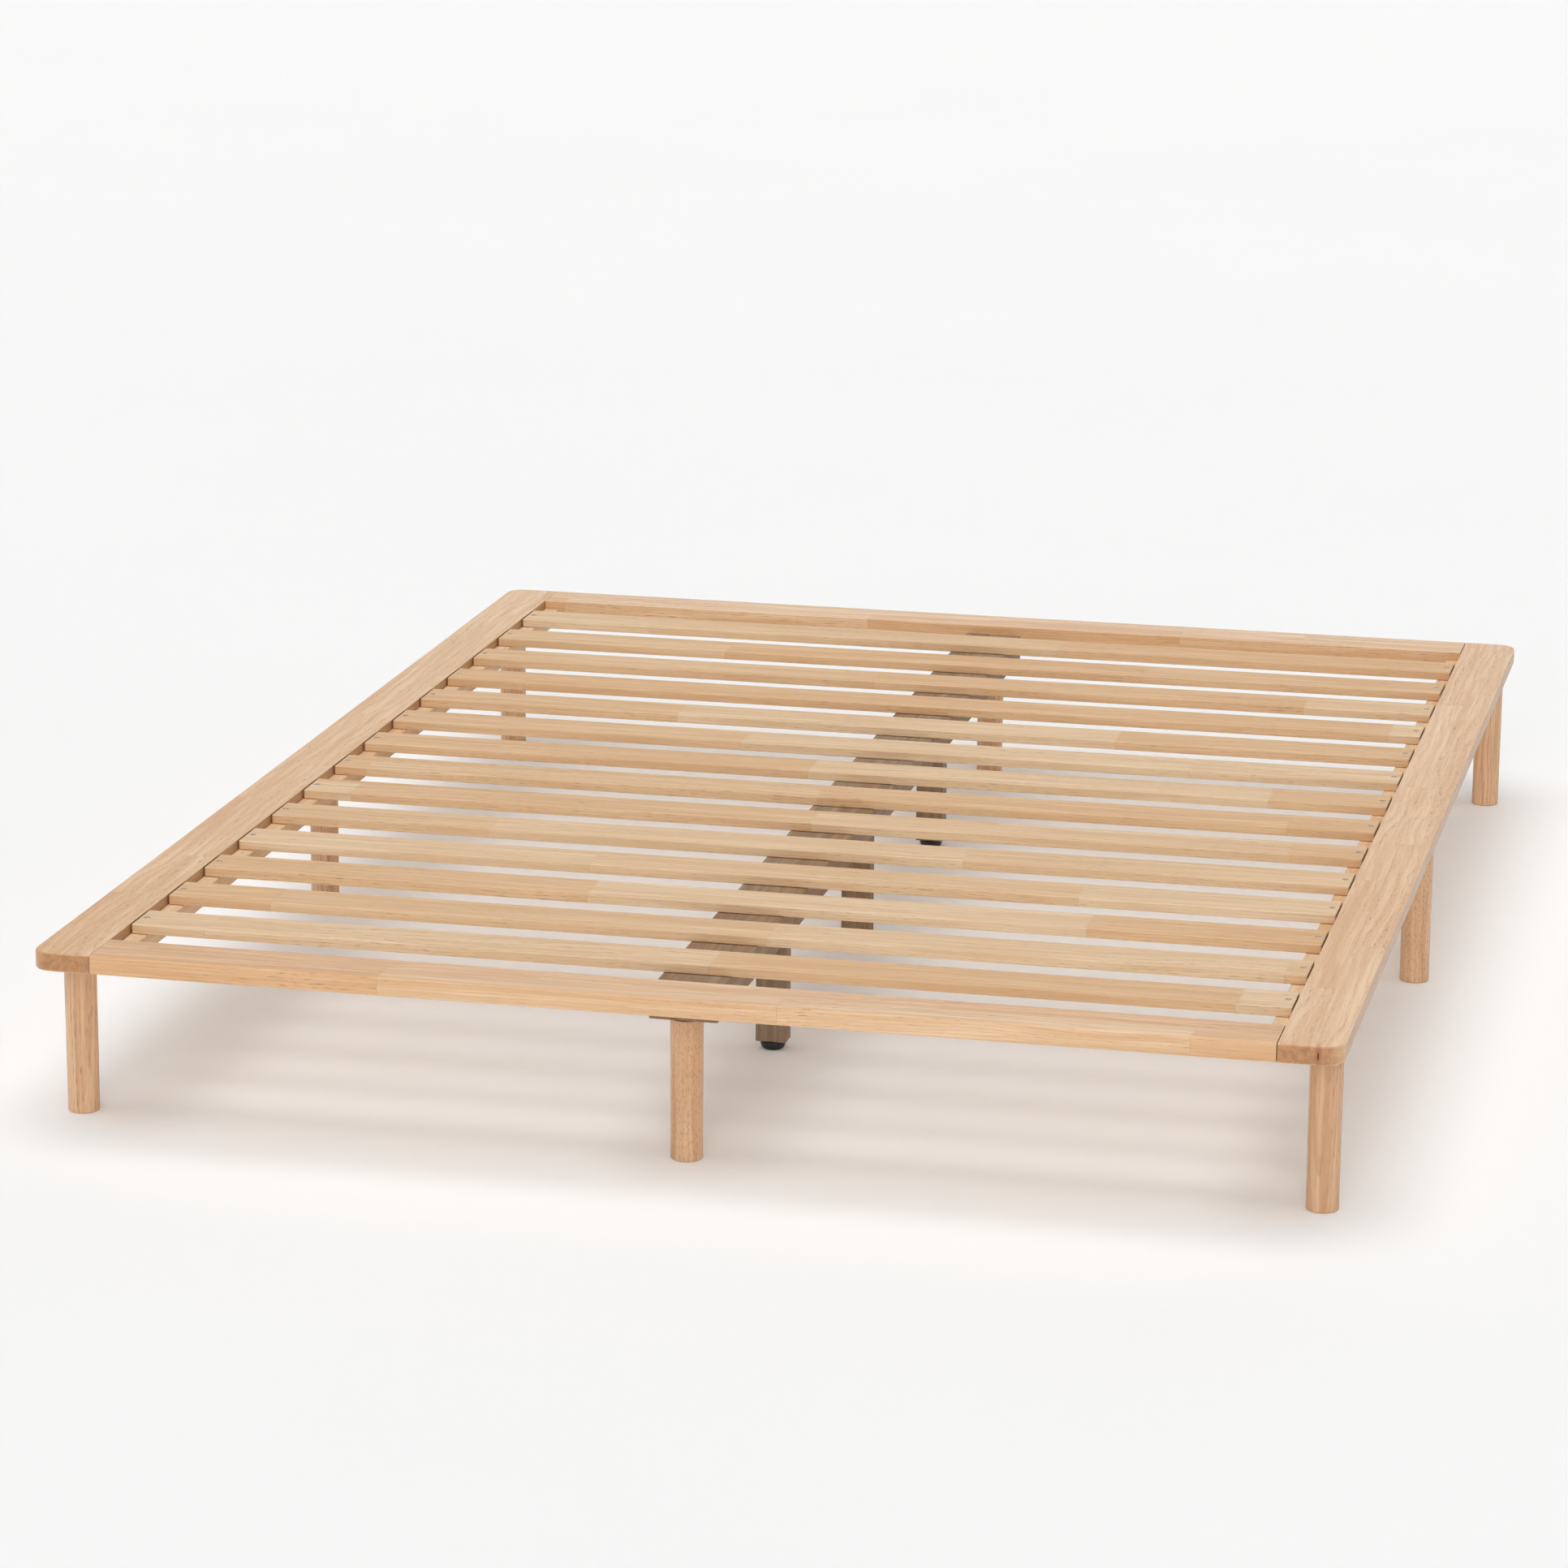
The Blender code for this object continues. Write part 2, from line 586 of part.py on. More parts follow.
def build_beam_brackets():
    """Steel angles: one flange under the end rail, the other down the beam's end."""
    for end, name in ((-1, "beam_bracket_foot"), (1, "beam_bracket_head")):
        outer = END_RAIL_INNER + BRACKET_FLANGE
        bend = END_RAIL_INNER
        section = [
            (bend, BRACKET_TOP),
            (outer, BRACKET_TOP),
            (outer, BRACKET_TOP - STEEL_THICKNESS),
            (bend + STEEL_THICKNESS, BRACKET_TOP - STEEL_THICKNESS),
            (bend + STEEL_THICKNESS, BRACKET_TOP - BRACKET_DROP),
            (bend, BRACKET_TOP - BRACKET_DROP),
        ]
        bm = bmesh.new()
        ring = [bm.verts.new((-BRACKET_WIDTH / 2, end * y, z)) for y, z in section]
        face = bm.faces.new(ring)
        extruded = bmesh.ops.extrude_face_region(bm, geom=[face])
        moved = [v for v in extruded["geom"] if isinstance(v, bmesh.types.BMVert)]
        bmesh.ops.translate(bm, vec=(BRACKET_WIDTH, 0, 0), verts=moved)
        bracket = add_part(name, mesh_from(bm, name), ZINC_STEEL)
        holes = [p for e, kind, p in bracket_screw_places() if e == end]
        cut(bracket, "screw_holes", bracket_screw_hole, holes)


clear_scene()
parts = new_collection("wooden_bed_frame")
cutters = new_collection("cutters")
frame = bpy.data.objects.new("bed_frame_origin", None)
parts.objects.link(frame)

dowel_hole = turned_mesh(
    "dowel_hole",
    rod_profile(
        DOWEL_RADIUS + HOLE_CLEARANCE,
        DOWEL_LENGTH / 2 + HOLE_CLEARANCE,
        -DOWEL_LENGTH / 2 - HOLE_CLEARANCE,
    ),
    FASTENER_SIDES,
)
bracket_screw_hole = turned_mesh("bracket_screw_hole", pan_hole_profile(BRACKET_SCREW), SCREW_SIDES)
slat_screw_hole = turned_mesh("slat_screw_hole", countersunk_hole_profile(SLAT_SCREW), SCREW_SIDES)
cleat_screw_hole = turned_mesh("cleat_screw_hole", countersunk_hole_profile(CLEAT_SCREW), SCREW_SIDES)

build_side_rails()
build_end_rails()
build_legs()
build_slats()
build_cleats()
build_beam()
build_support_legs()
build_levelling_feet()
build_leg_bolts()
build_levelling_inserts()
build_joining_plates()
build_beam_brackets()
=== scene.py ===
"""The finished look of the low wooden bed frame.

Every wooden board is a stack of rounded rectangles, every turned piece is a profile carried round
its axis, and every thread is a cylinder whose radius follows a helix. Places and sizes come from
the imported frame's own boxes. Metres, +Z up, the head end is +Y.
"""

import math
from collections import namedtuple

import bpy
import numpy as np
from mathutils import Matrix, Vector


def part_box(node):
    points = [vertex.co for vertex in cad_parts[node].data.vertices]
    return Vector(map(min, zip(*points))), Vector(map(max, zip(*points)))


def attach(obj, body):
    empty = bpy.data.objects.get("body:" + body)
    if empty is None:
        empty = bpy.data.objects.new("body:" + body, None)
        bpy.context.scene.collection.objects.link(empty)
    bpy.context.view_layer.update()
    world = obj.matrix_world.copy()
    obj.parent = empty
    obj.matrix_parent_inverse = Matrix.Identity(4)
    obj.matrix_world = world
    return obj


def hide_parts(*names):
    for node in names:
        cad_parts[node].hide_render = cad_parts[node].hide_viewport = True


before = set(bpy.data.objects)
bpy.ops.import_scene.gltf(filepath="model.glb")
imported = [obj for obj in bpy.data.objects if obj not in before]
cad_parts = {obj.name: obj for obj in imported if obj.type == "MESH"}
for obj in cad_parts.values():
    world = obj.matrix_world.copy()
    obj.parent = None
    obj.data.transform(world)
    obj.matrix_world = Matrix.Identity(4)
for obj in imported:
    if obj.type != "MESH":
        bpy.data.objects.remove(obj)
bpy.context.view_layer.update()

MM = 0.001
SLAT_COUNT = 14
SUPPORT_COUNT = 3

# Which way each end lies along Y, and each side along X.
ENDS = ((-1, "foot"), (1, "head"))
SIDES = ((-1, "left"), (1, "right"))

# Edge rounds, corner radii in plan and hairline gaps of the wooden boards.
RAIL_ROUND = 3.0 * MM
RAIL_CORNER = 25 * MM
SQUARE_CORNER = 0.4 * MM
INNER_ROUND = 0.8 * MM
JOINT_ROUND = 0.35 * MM
LEFT_JOINT_GAP = 0.15 * MM
RIGHT_JOINT_GAP = 0.60 * MM
SLAT_ROUND = 1.6 * MM
SLAT_CORNER = 2.0 * MM
CLEAT_ROUND = 1.2 * MM
CLEAT_CORNER = 1.5 * MM
BEAM_ROUND = 2.2 * MM
BEAM_CORNER = 2.5 * MM
SUPPORT_ROUND = 1.3 * MM
SUPPORT_CORNER = 1.6 * MM

# How rounds are divided: a guard point stands this far off, and wide corners get more steps.
GUARD = 0.5 * MM
LEAST_CORNER = 0.02 * MM
WIDE_CORNER = 5 * MM
EDGE_STEPS = 6
WIDE_CORNER_STEPS = 14
SMALL_CORNER_STEPS = 4

# Faces that meet at a wider angle than this keep a crisp edge.
CREASE_ANGLE = math.radians(32)

# Turned pieces.
LEG_SIDES = 72
LEG_ROWS = 24
LEG_TOP_EASE = 0.6 * MM
LEG_FOOT_ROUND = 2.0 * MM
LEG_TAPER = 0.5 * MM
BOLT_HOLE_RADIUS = 4.3 * MM
BOLT_HOLE_DEPTH = 28.3 * MM
STEM_HOLE_ROOM = 3 * MM

# The levelling pad: a raised boss and a raised lip stand round a shallow well.
PAD_SIDES = 64
PAD_FLOOR_RADIUS = 10.5 * MM
PAD_RIM = 0.5 * MM
PAD_CHAMFER = 0.3 * MM
PAD_BOSS = 2.2 * MM
PAD_LIP = 2.0 * MM
PAD_SLOPE = 0.4 * MM
PAD_WELL = 0.8 * MM

# Threads: pitch, depth and crest radius.
METRIC_PITCH = 1.25 * MM
METRIC_DEPTH = 0.60 * MM
METRIC_RADIUS = 4.0 * MM
WOOD_PITCH = 3.0 * MM
WOOD_DEPTH = 1.1 * MM
MACHINE_LENGTH = 12 * MM
BOLT_NECK = 2 * MM
BOLT_SIDES = 20
INSERT_PITCH = 2.6 * MM
INSERT_DEPTH = 0.8 * MM
INSERT_RADIUS = 6.0 * MM
INSERT_LENGTH = 13 * MM
THREAD_GAP = 0.22 * MM
THREAD_SIDES = 28
ROWS_PER_TURN = 8

# Wood screws and their holes: the first two sizes of a screw are radii.
Screw = namedtuple("Screw", "shank head head_height length")
SLAT_SCREW = Screw(2.0 * MM, 3.8 * MM, 2.6 * MM, 24 * MM)
CLEAT_SCREW = Screw(2.0 * MM, 3.8 * MM, 2.6 * MM, 40 * MM)
PAN_SCREW = Screw(2.0 * MM, 3.8 * MM, 2.2 * MM, 16 * MM)
SCREW_PITCH = 1.8 * MM
SCREW_NECK = 1.2 * MM
SCREW_SIDES = 20
SCREW_ROWS_PER_TURN = 6
HOLE_GAP = 0.3 * MM
HEAD_SINK = 0.4 * MM
MOUTH = 1.0 * MM
HOLE_SIDES = 32
RECESS_WIDTH = 0.9 * MM
RECESS_REACH = 2.1 * MM
RECESS_DEPTH = 1.5 * MM

# Where the hidden fasteners sit.
DOWEL_RADIUS = 4.0 * MM
DOWEL_LENGTH = 30 * MM
DOWEL_SPACING = 36 * MM
DOWEL_FLUTES = 12
FLUTE_DEPTH = 0.35 * MM
CLEAT_SCREW_COUNT = 5
PLATE_SCREW_OFFSETS = (15 * MM, 31 * MM)
BRACKET_SCREW_SPACING = 36 * MM
BRACKET_SCREW_FROM_BEND = 28 * MM
BRACKET_SCREW_DOWN = 10.5 * MM
BRACKET_SEAT_GAP = 0.3 * MM

# Fasteners nearer the bed's middle line than this are the centre beam's.
BEAM_ZONE = 100 * MM

# Steel fittings.
PLATE_CORNER = 5 * MM
STEEL_EDGE = 0.35 * MM
STEEL_THICKNESS = 2.5 * MM
BEND_RADIUS = 3.2 * MM
BRACKET_CORNER = 5 * MM
BEND_STEPS = 10

# Each row of staves starts this share of a stave further on than the last.
GOLDEN_STEP = 0.618

# How far the grain wanders, and how the growth rings lie: rings per metre across, along, through.
GRAIN_SWAY = (0.018, 0.0, 0.018)
RING_SLOPE = (75.0, 0.0, 250.0)

# The fingers between staves, and the widths of the glue lines at their ends and sides.
FINGER_WIDTH = 2.2 * MM
FINGER_SLOPE = 2.4
JOINT_LINE = 0.4 * MM
SEAM_LINE = 0.25 * MM

# How far a stave's red, green and blue may fall and rise.
STAVE_TINT = ((0.04, 0.03), (0.11, 0.09), (0.18, 0.16))

# The colours of the knot.
KNOT_HALO = (0.33, 0.105, 0.035, 1.0)
KNOT_HEART = (0.075, 0.020, 0.008, 1.0)


def cad(node):
    """The lowest and highest corners of a node, as arrays."""
    low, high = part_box(node)
    return np.array(low), np.array(high)


def middle(node):
    low, high = cad(node)
    return (low + high) / 2


# ---------------------------------------------------------------------------------------------
# Surfaces
# ---------------------------------------------------------------------------------------------


def ring_faces(rings, columns):
    """Quads between neighbouring rings, facing out where the rings run down and turn left."""
    ring, column = np.meshgrid(np.arange(rings - 1), np.arange(columns), indexing="ij")
    here = ring * columns + column
    beside = ring * columns + (column + 1) % columns
    return np.stack([here, here + columns, beside + columns, beside], -1).reshape(-1, 4)


def capped(points):
    """Rings from top to bottom, closed by one flat face at each end."""
    rings, columns = points.shape[:2]
    last = (rings - 1) * columns
    faces = ring_faces(rings, columns).tolist()
    faces.append(list(range(columns)))
    faces.append(list(range(last, last + columns))[::-1])
    return points.reshape(-1, 3), faces


def looped(points):
    """Rings round a hollow piece, the last one joined to the first."""
    rings, columns = points.shape[:2]
    faces = ring_faces(rings + 1, columns) % (rings * columns)
    return points.reshape(-1, 3), faces.tolist()


def turned(profile, sides, radius_at=None):
    """Rings of a profile carried round the Z axis: x = r cos a, y = r sin a, z as given.

    radius_at, if given, changes the radius by angle and height.
    """
    profile = np.asarray(profile, float)
    angle = np.arange(sides) / sides * 2 * math.pi
    radius = np.repeat(profile[:, :1], sides, axis=1)
    height = np.repeat(profile[:, 1:], sides, axis=1)
    if radius_at is not None:
        radius = radius_at(radius, angle[None, :], height)
    return np.stack([radius * np.cos(angle), radius * np.sin(angle), height], -1)


def arc(centre, radii, start, end, steps):
    """Points of an elliptical arc: centre plus (a cos t, b sin t), t running from start to end."""
    t = np.radians(np.linspace(start, end, steps + 1))
    return [(centre[0] + radii[0] * math.cos(v), centre[1] + radii[1] * math.sin(v)) for v in t]


def rounded_rectangle(low, high, radii, steps):
    """Four corner arcs joined by straight sides, turning left.

    Each point is its corner's centre plus the radius times (cos, sin). A guard point stands on the
    straight side just before and just after every arc, which keeps the sides' shading flat.
    """
    corners = np.array([(high[0], low[1]), high, (low[0], high[1]), low])
    inward = np.array([(-1, 1), (-1, -1), (1, -1), (1, 1)])
    points = []
    for index in range(4):
        radius = radii[index]
        centre = corners[index] + inward[index] * radius
        angle = np.radians(np.linspace(index * 90 - 90, index * 90, steps[index] + 1))
        curve = centre + radius * np.stack([np.cos(angle), np.sin(angle)], -1)
        before = curve[0] + GUARD * np.array([-math.sin(angle[0]), math.cos(angle[0])]) * -1
        after = curve[-1] + GUARD * np.array([-math.sin(angle[-1]), math.cos(angle[-1])])
        points.append(np.concatenate([[before], curve, [after]]))
    return np.concatenate(points)


def board(low, high, rounds, corners=SQUARE_CORNER):
    """A board as rounded rectangles stacked down its thickness.

    At depth d below a face, a side with edge round r steps in by r - sqrt(r^2 - (r - d)^2).
    rounds go left, right, front, back; corners go front right, back right, back left, front left;
    one number stands for all four.
    """
    rounds = np.broadcast_to(rounds, 4)
    corners = np.broadcast_to(corners, 4)
    largest = rounds.max()
    depth = largest * (1 - np.cos(np.linspace(0, math.pi / 2, EDGE_STEPS + 1)))
    over = np.clip(rounds - depth[:, None], 0, None)
    inset = rounds - np.sqrt(rounds**2 - over**2)
    depth = np.concatenate([[0], depth, [largest + GUARD]])
    inset = np.concatenate([inset[:1] + GUARD, inset, [np.zeros(4)]])
    steps = np.where(corners > WIDE_CORNER, WIDE_CORNER_STEPS, SMALL_CORNER_STEPS)
    beside = [(1, 2), (1, 3), (0, 3), (0, 2)]
    half = []
    for step in inset:
        smaller = [corners[i] - (step[a] + step[b]) / 2 for i, (a, b) in enumerate(beside)]
        inner_low = (low[0] + step[0], low[1] + step[2])
        inner_high = (high[0] - step[1], high[1] - step[3])
        half.append(rounded_rectangle(inner_low, inner_high, np.maximum(smaller, LEAST_CORNER), steps))
    half = np.array(half)
    heights = np.broadcast_to((high[2] - depth)[:, None, None], (*half.shape[:2], 1))
    top = np.concatenate([half, heights], -1)
    bottom = top[::-1].copy()
    bottom[:, :, 2] = low[2] + high[2] - bottom[:, :, 2]
    return capped(np.concatenate([top, bottom]))


def thread(radius, depth, pitch, clearance=0.0):
    """The radius of a right-hand thread: crest less depth times a clipped triangle wave of the helix."""

    def radius_at(_, angle, height):
        phase = (height / pitch - angle / (2 * math.pi)) % 1
        wave = np.clip(np.abs(phase - 0.5) * 2.4 - 0.1, 0, 1)
        return radius + clearance - depth * wave

    return radius_at


def moved(points, place):
    """Points turned and moved by a 4x4 matrix."""
    place = np.array(place)
    return points @ place[:3, :3].T + place[:3, 3]


def standing(shape, x, y):
    """A shape made round the Z axis, moved to stand at x, y."""
    points, faces = shape
    return points + (x, y, 0), faces


def copies(shape, places):
    """One shape repeated at each place, as one set of points and faces."""
    points, faces = shape
    all_points = np.concatenate([moved(points, place) for place in places])
    count = len(points)
    all_faces = [[v + count * index for v in face] for index in range(len(places)) for face in faces]
    return all_points, all_faces


def joined(*shapes):
    """Several closed shapes as one set of points and faces."""
    points, faces, first = [], [], 0
    for shape_points, shape_faces in shapes:
        points.append(shape_points)
        faces += [[v + first for v in face] for face in shape_faces]
        first += len(shape_points)
    return np.concatenate(points), faces


def new_mesh(name, shape):
    points, faces = shape
    mesh = bpy.data.meshes.new(name)
    mesh.from_pydata(points.tolist(), [], faces)
    mesh.update()
    return mesh


def new_object(name, mesh):
    piece = bpy.data.objects.new(name, mesh)
    bpy.context.scene.collection.objects.link(piece)
    return piece


def cut_out(name, shape, holes):
    """The mesh of a shape with every closed hole body taken out of it."""
    body = new_object(name + "_uncut", new_mesh(name + "_uncut", shape))
    cutter = new_object(name + "_holes", new_mesh(name + "_holes", holes))
    modifier = body.modifiers.new("holes", "BOOLEAN")
    modifier.operation = "DIFFERENCE"
    modifier.solver = "EXACT"
    modifier.object = cutter
    graph = bpy.context.evaluated_depsgraph_get()
    mesh = bpy.data.meshes.new_from_object(body.evaluated_get(graph))
    mesh.name = name
    for helper in (body, cutter):
        helper_mesh = helper.data
        bpy.data.objects.remove(helper)
        bpy.data.meshes.remove(helper_mesh)
    return mesh


def add_piece(name, mesh, material, body, node=None):
    """Puts a finished piece on its body, standing for its node if it has one."""
    mesh.shade_smooth()
    mesh.set_sharp_from_angle(angle=CREASE_ANGLE)
    mesh.materials.clear()
    mesh.materials.append(material)
    piece = new_object(name, mesh)
    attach(piece, body)
    if node is not None:
        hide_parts(node)


def add_steel(node, shape, body="frame", holes=None):
    """The zinc-plated piece that stands for a node, with its holes taken out."""
    name = node + "_steel"
    mesh = new_mesh(name, shape) if holes is None else cut_out(name, shape, holes)
    add_piece(name, mesh, ZINC_STEEL, body, node)


# ---------------------------------------------------------------------------------------------
# Materials
# ---------------------------------------------------------------------------------------------


class Finish:
    """A material's node tree, built step by step; each step returns the socket that it makes."""

    def __init__(self, name, **shader_values):
        self.material = bpy.data.materials.new(name)
        self.material.use_nodes = True
        self.nodes = self.material.node_tree.nodes
        self.links = self.material.node_tree.links
        self.shader = self.nodes["Principled BSDF"]
        for socket, value in shader_values.items():
            self.shader.inputs[socket.replace("_", " ")].default_value = value

    def step(self, kind, output=0, settings=None, **inputs):
        """A new node; an input is given by its name, or as i and its number."""
        node = self.nodes.new(kind)
        for key, value in (settings or {}).items():
            setattr(node, key, value)
        for key, value in inputs.items():
            socket = node.inputs[int(key[1:]) if key[1:].isdigit() else key.replace("_", " ")]
            if isinstance(value, bpy.types.NodeSocket):
                self.links.new(value, socket)
            else:
                socket.default_value = value
        return node.outputs[output]

    def maths(self, operation, first, second=0.0):
        return self.step("ShaderNodeMath", 0, {"operation": operation}, i0=first, i1=second)

    def vector(self, operation, first, second):
        return self.step("ShaderNodeVectorMath", 0, {"operation": operation}, i0=first, i1=second)

    def stretched(self, coordinates, scale):
        """Coordinates times one number, or times three."""
        return self.vector("MULTIPLY", coordinates, scale if isinstance(scale, tuple) else (scale,) * 3)

    def noise(self, coordinates, scale, detail=2.0, roughness=0.5, distortion=0.0):
        return self.step(
            "ShaderNodeTexNoise",
            0,
            Vector=self.stretched(coordinates, scale),
            Scale=1.0,
            Detail=detail,
            Roughness=roughness,
            Distortion=distortion,
        )

    def between(self, value, low, high, out_low=0.0, out_high=1.0):
        """Maps low..high onto out_low..out_high with soft ends."""
        return self.step(
            "ShaderNodeMapRange",
            0,
            {"interpolation_type": "SMOOTHSTEP"},
            i0=value,
            i1=low,
            i2=high,
            i3=out_low,
            i4=out_high,
        )

    def cells(self, output, coordinates, scale):
        return self.step(
            "ShaderNodeTexVoronoi",
            output,
            {"feature": "F1"},
            Vector=self.stretched(coordinates, scale),
            Scale=1.0,
        )

    def mix(self, factor, first, second, blend="MIX"):
        settings = {"data_type": "RGBA", "blend_type": blend}
        return self.step("ShaderNodeMix", 2, settings, i0=factor, i6=first, i7=second)

    def attribute(self, name, output):
        return self.step("ShaderNodeAttribute", output, {"attribute_name": name})

    def object_coordinates(self):
        return self.step("ShaderNodeTexCoord", 3)

    def bump(self, height, strength, distance):
        return self.step("ShaderNodeBump", 0, Height=height, Strength=strength, Distance=distance)

    def set(self, socket, value):
        self.links.new(value, self.shader.inputs[socket])


def rgb(red, green, blue):
    return (red, green, blue, 1.0)


def shaded(colour, share):
    """A colour with every channel multiplied, and none above 1."""
    return rgb(*[min(1.0, channel * share) for channel in colour])


def glue_line(finish, place, size, width):
    """1 where place passes a whole number, fading to 0 at width; one unit of place is size long."""
    inside = finish.maths("FRACT", place)
    edge = finish.maths("MINIMUM", inside, finish.maths("SUBTRACT", 1.0, inside))
    return finish.between(finish.maths("MULTIPLY", edge, size), 0.0, width, 1.0, 0.0)


def stave_steps(finish, grain, stave_width, stave_length):
    """Edge-glued, finger-jointed staves: each keeps its own tone and its own stretch of grain.

    The row is the whole part of x / width. The stave is the whole part of y / length after a
    per-row shift and a zigzag across the width, which makes the fingers.
    """
    parts = finish.step("ShaderNodeSeparateXYZ", 0, i0=grain).node
    across, along = parts.outputs[0], parts.outputs[1]
    column = finish.maths("DIVIDE", across, stave_width)
    row = finish.maths("FLOOR", column)
    row_shift = finish.maths("MULTIPLY", row, GOLDEN_STEP)
    zigzag = finish.maths("PINGPONG", across, FINGER_WIDTH)
    slid = finish.maths("ADD", along, finish.maths("MULTIPLY", zigzag, FINGER_SLOPE))
    place = finish.maths("ADD", finish.maths("DIVIDE", slid, stave_length), row_shift)
    key = finish.step("ShaderNodeCombineXYZ", 0, i0=row, i1=finish.maths("FLOOR", place), i2=0.37)
    random = finish.step("ShaderNodeTexWhiteNoise", 0, {"noise_dimensions": "3D"}, Vector=key).node
    tone, colour = random.outputs[0], random.outputs[1]
    joint = glue_line(finish, place, stave_length, JOINT_LINE)
    seam = glue_line(finish, column, stave_width, SEAM_LINE)
    moved_grain = finish.vector("ADD", grain, finish.stretched(colour, 3.0))
    return moved_grain, tone, finish.maths("MAXIMUM", joint, seam)


def swayed(finish, grain):
    """The place in the wood, shifted by slow noise, so that the grain wanders."""
    sway = finish.step("ShaderNodeTexNoise", 1, Vector=finish.stretched(grain, (13, 3.4, 13)), Scale=1.0)
    sway = finish.vector("SUBTRACT", sway, (0.5, 0.5, 0.5))
    return finish.vector("ADD", grain, finish.stretched(sway, GRAIN_SWAY))


def stave_tint(finish, colour, tone, mottle):
    """Each stave's own tone: green and blue change together, and red hardly at all."""
    channels = [
        finish.between(tone, 0.0, 1.0, 1.0 - less * mottle, 1.0 + more * mottle)
        for less, more in STAVE_TINT
    ]
    tint = finish.step("ShaderNodeCombineColor", 0, i0=channels[0], i1=channels[1], i2=channels[2])
    return finish.mix(1.0, colour, tint, "MULTIPLY")


def end_grain_steps(finish, colour, grain, end_grain, end):
    """Darker, blotched colour where the surface cuts the fibres."""
    blotch = finish.noise(grain, 160, 3, 0.6, 0.4)
    end_colour = finish.mix(finish.between(blotch, 0.32, 0.68), rgb(*end), shaded(end, 0.62))
    return finish.mix(finish.maths("MULTIPLY", end_grain, 0.80), colour, end_colour)


def wood(name, colours, staves=None, mottle=1.0, rays=0.0, gloss=0.42, coat=0.22, contrast=1.0, knot=None):
    """Pale pored hardwood: growth bands, streaks, pores, ray flecks and darker end grain.

    The "grain" attribute is the place in the wood: across, along and through, in metres.
    The "end_grain" attribute is 1 where the surface cuts the fibres square.
    """
    light, dark, end, pore = colours
    finish = Finish(name, Coat_Weight=coat, Coat_Roughness=0.22, IOR=1.48)
    grain = finish.attribute("grain", 1)
    end_grain = finish.attribute("end_grain", 2)
    if staves:
        grain, tone, glue = stave_steps(finish, grain, *staves)
    grain = swayed(finish, grain)

    # Growth rings, and pores that crowd in the early wood of each.
    ring = finish.step("ShaderNodeVectorMath", 1, {"operation": "DOT_PRODUCT"}, i0=grain, i1=RING_SLOPE)
    early = finish.between(finish.maths("FRACT", ring), 0.0, 0.62, 1.0, 0.0)
    clouds = finish.noise(grain, (9, 3, 9), 2, 0.5)
    dense = finish.between(clouds, 0.35, 0.7, 0.30, 1.0)
    dense = finish.maths("MULTIPLY", dense, finish.between(early, 0.0, 1.0, 0.25, 1.0))
    pores = finish.between(finish.noise(grain, (1050, 62, 1050), 1, 0.4), 0.56, 0.68)
    pores = finish.maths("MULTIPLY", pores, dense)

    # Colour along the grain, from the widest bands to the finest fibres.
    bands = finish.noise(grain, (70, 2.6, 70), 3, 0.55, 0.6)
    streaks = finish.noise(grain, (400, 9, 400), 4, 0.62)
    fibre = finish.noise(grain, (2400, 45, 2400), 2, 0.6)
    colour = finish.mix(finish.between(bands, 0.30, 0.72), rgb(*light), rgb(*dark))
    colour = finish.mix(finish.maths("MULTIPLY", early, 0.50 * contrast), colour, rgb(*dark))
    colour = finish.mix(finish.between(streaks, 0.46, 0.74, 0.0, 0.85 * contrast), colour, rgb(*dark))
    colour = finish.mix(finish.between(fibre, 0.45, 0.8, 0.0, 0.28), colour, shaded(light, 1.12))
    if rays > 0:
        flecks = finish.between(finish.cells(0, grain, (520, 165, 520)), 0.12, 0.44, rays, 0.0)
        colour = finish.mix(flecks, colour, rgb(*pore))
    colour = finish.mix(finish.maths("MULTIPLY", pores, 0.70 * contrast), colour, rgb(*pore))
    if staves:
        colour = stave_tint(finish, colour, tone, mottle)
        colour = finish.mix(finish.maths("MULTIPLY", glue, 0.45), colour, rgb(*pore))
    colour = end_grain_steps(finish, colour, grain, end_grain, end)
    if knot:
        colour = knot_steps(finish, colour, *knot)
    finish.set("Base Color", colour)

    # Open pores and end grain shine less, and the pores are hollows.
    rough = finish.between(streaks, 0.3, 0.7, gloss - 0.05, gloss + 0.08)
    rough = finish.maths("ADD", rough, finish.maths("MULTIPLY", pores, 0.12))
    finish.set("Roughness", finish.maths("ADD", rough, finish.maths("MULTIPLY", end_grain, 0.10)))
    relief = finish.maths("SUBTRACT", finish.maths("MULTIPLY", fibre, 0.5), pores)
    finish.set("Normal", finish.bump(relief, 0.32, 0.12 * MM))
    return finish.material


def knot_steps(finish, colour, centre, size):
    """A small dark knot with a reddish halo, at a fixed place on one piece."""
    here = finish.object_coordinates()
    apart = finish.vector("SUBTRACT", here, centre)
    warp = finish.noise(here, 300, 2)
    bend = finish.maths("MULTIPLY", finish.maths("SUBTRACT", warp, 0.5), 0.9)
    scaled = finish.vector("DIVIDE", apart, size)
    length = finish.step("ShaderNodeVectorMath", 1, {"operation": "LENGTH"}, i0=scaled)
    distance = finish.maths("ADD", length, bend)
    halo = finish.between(distance, 0.8, 3.4, 0.55, 0.0)
    heart = finish.between(distance, 0.45, 0.95, 0.92, 0.0)
    return finish.mix(heart, finish.mix(halo, colour, KNOT_HALO), KNOT_HEART)


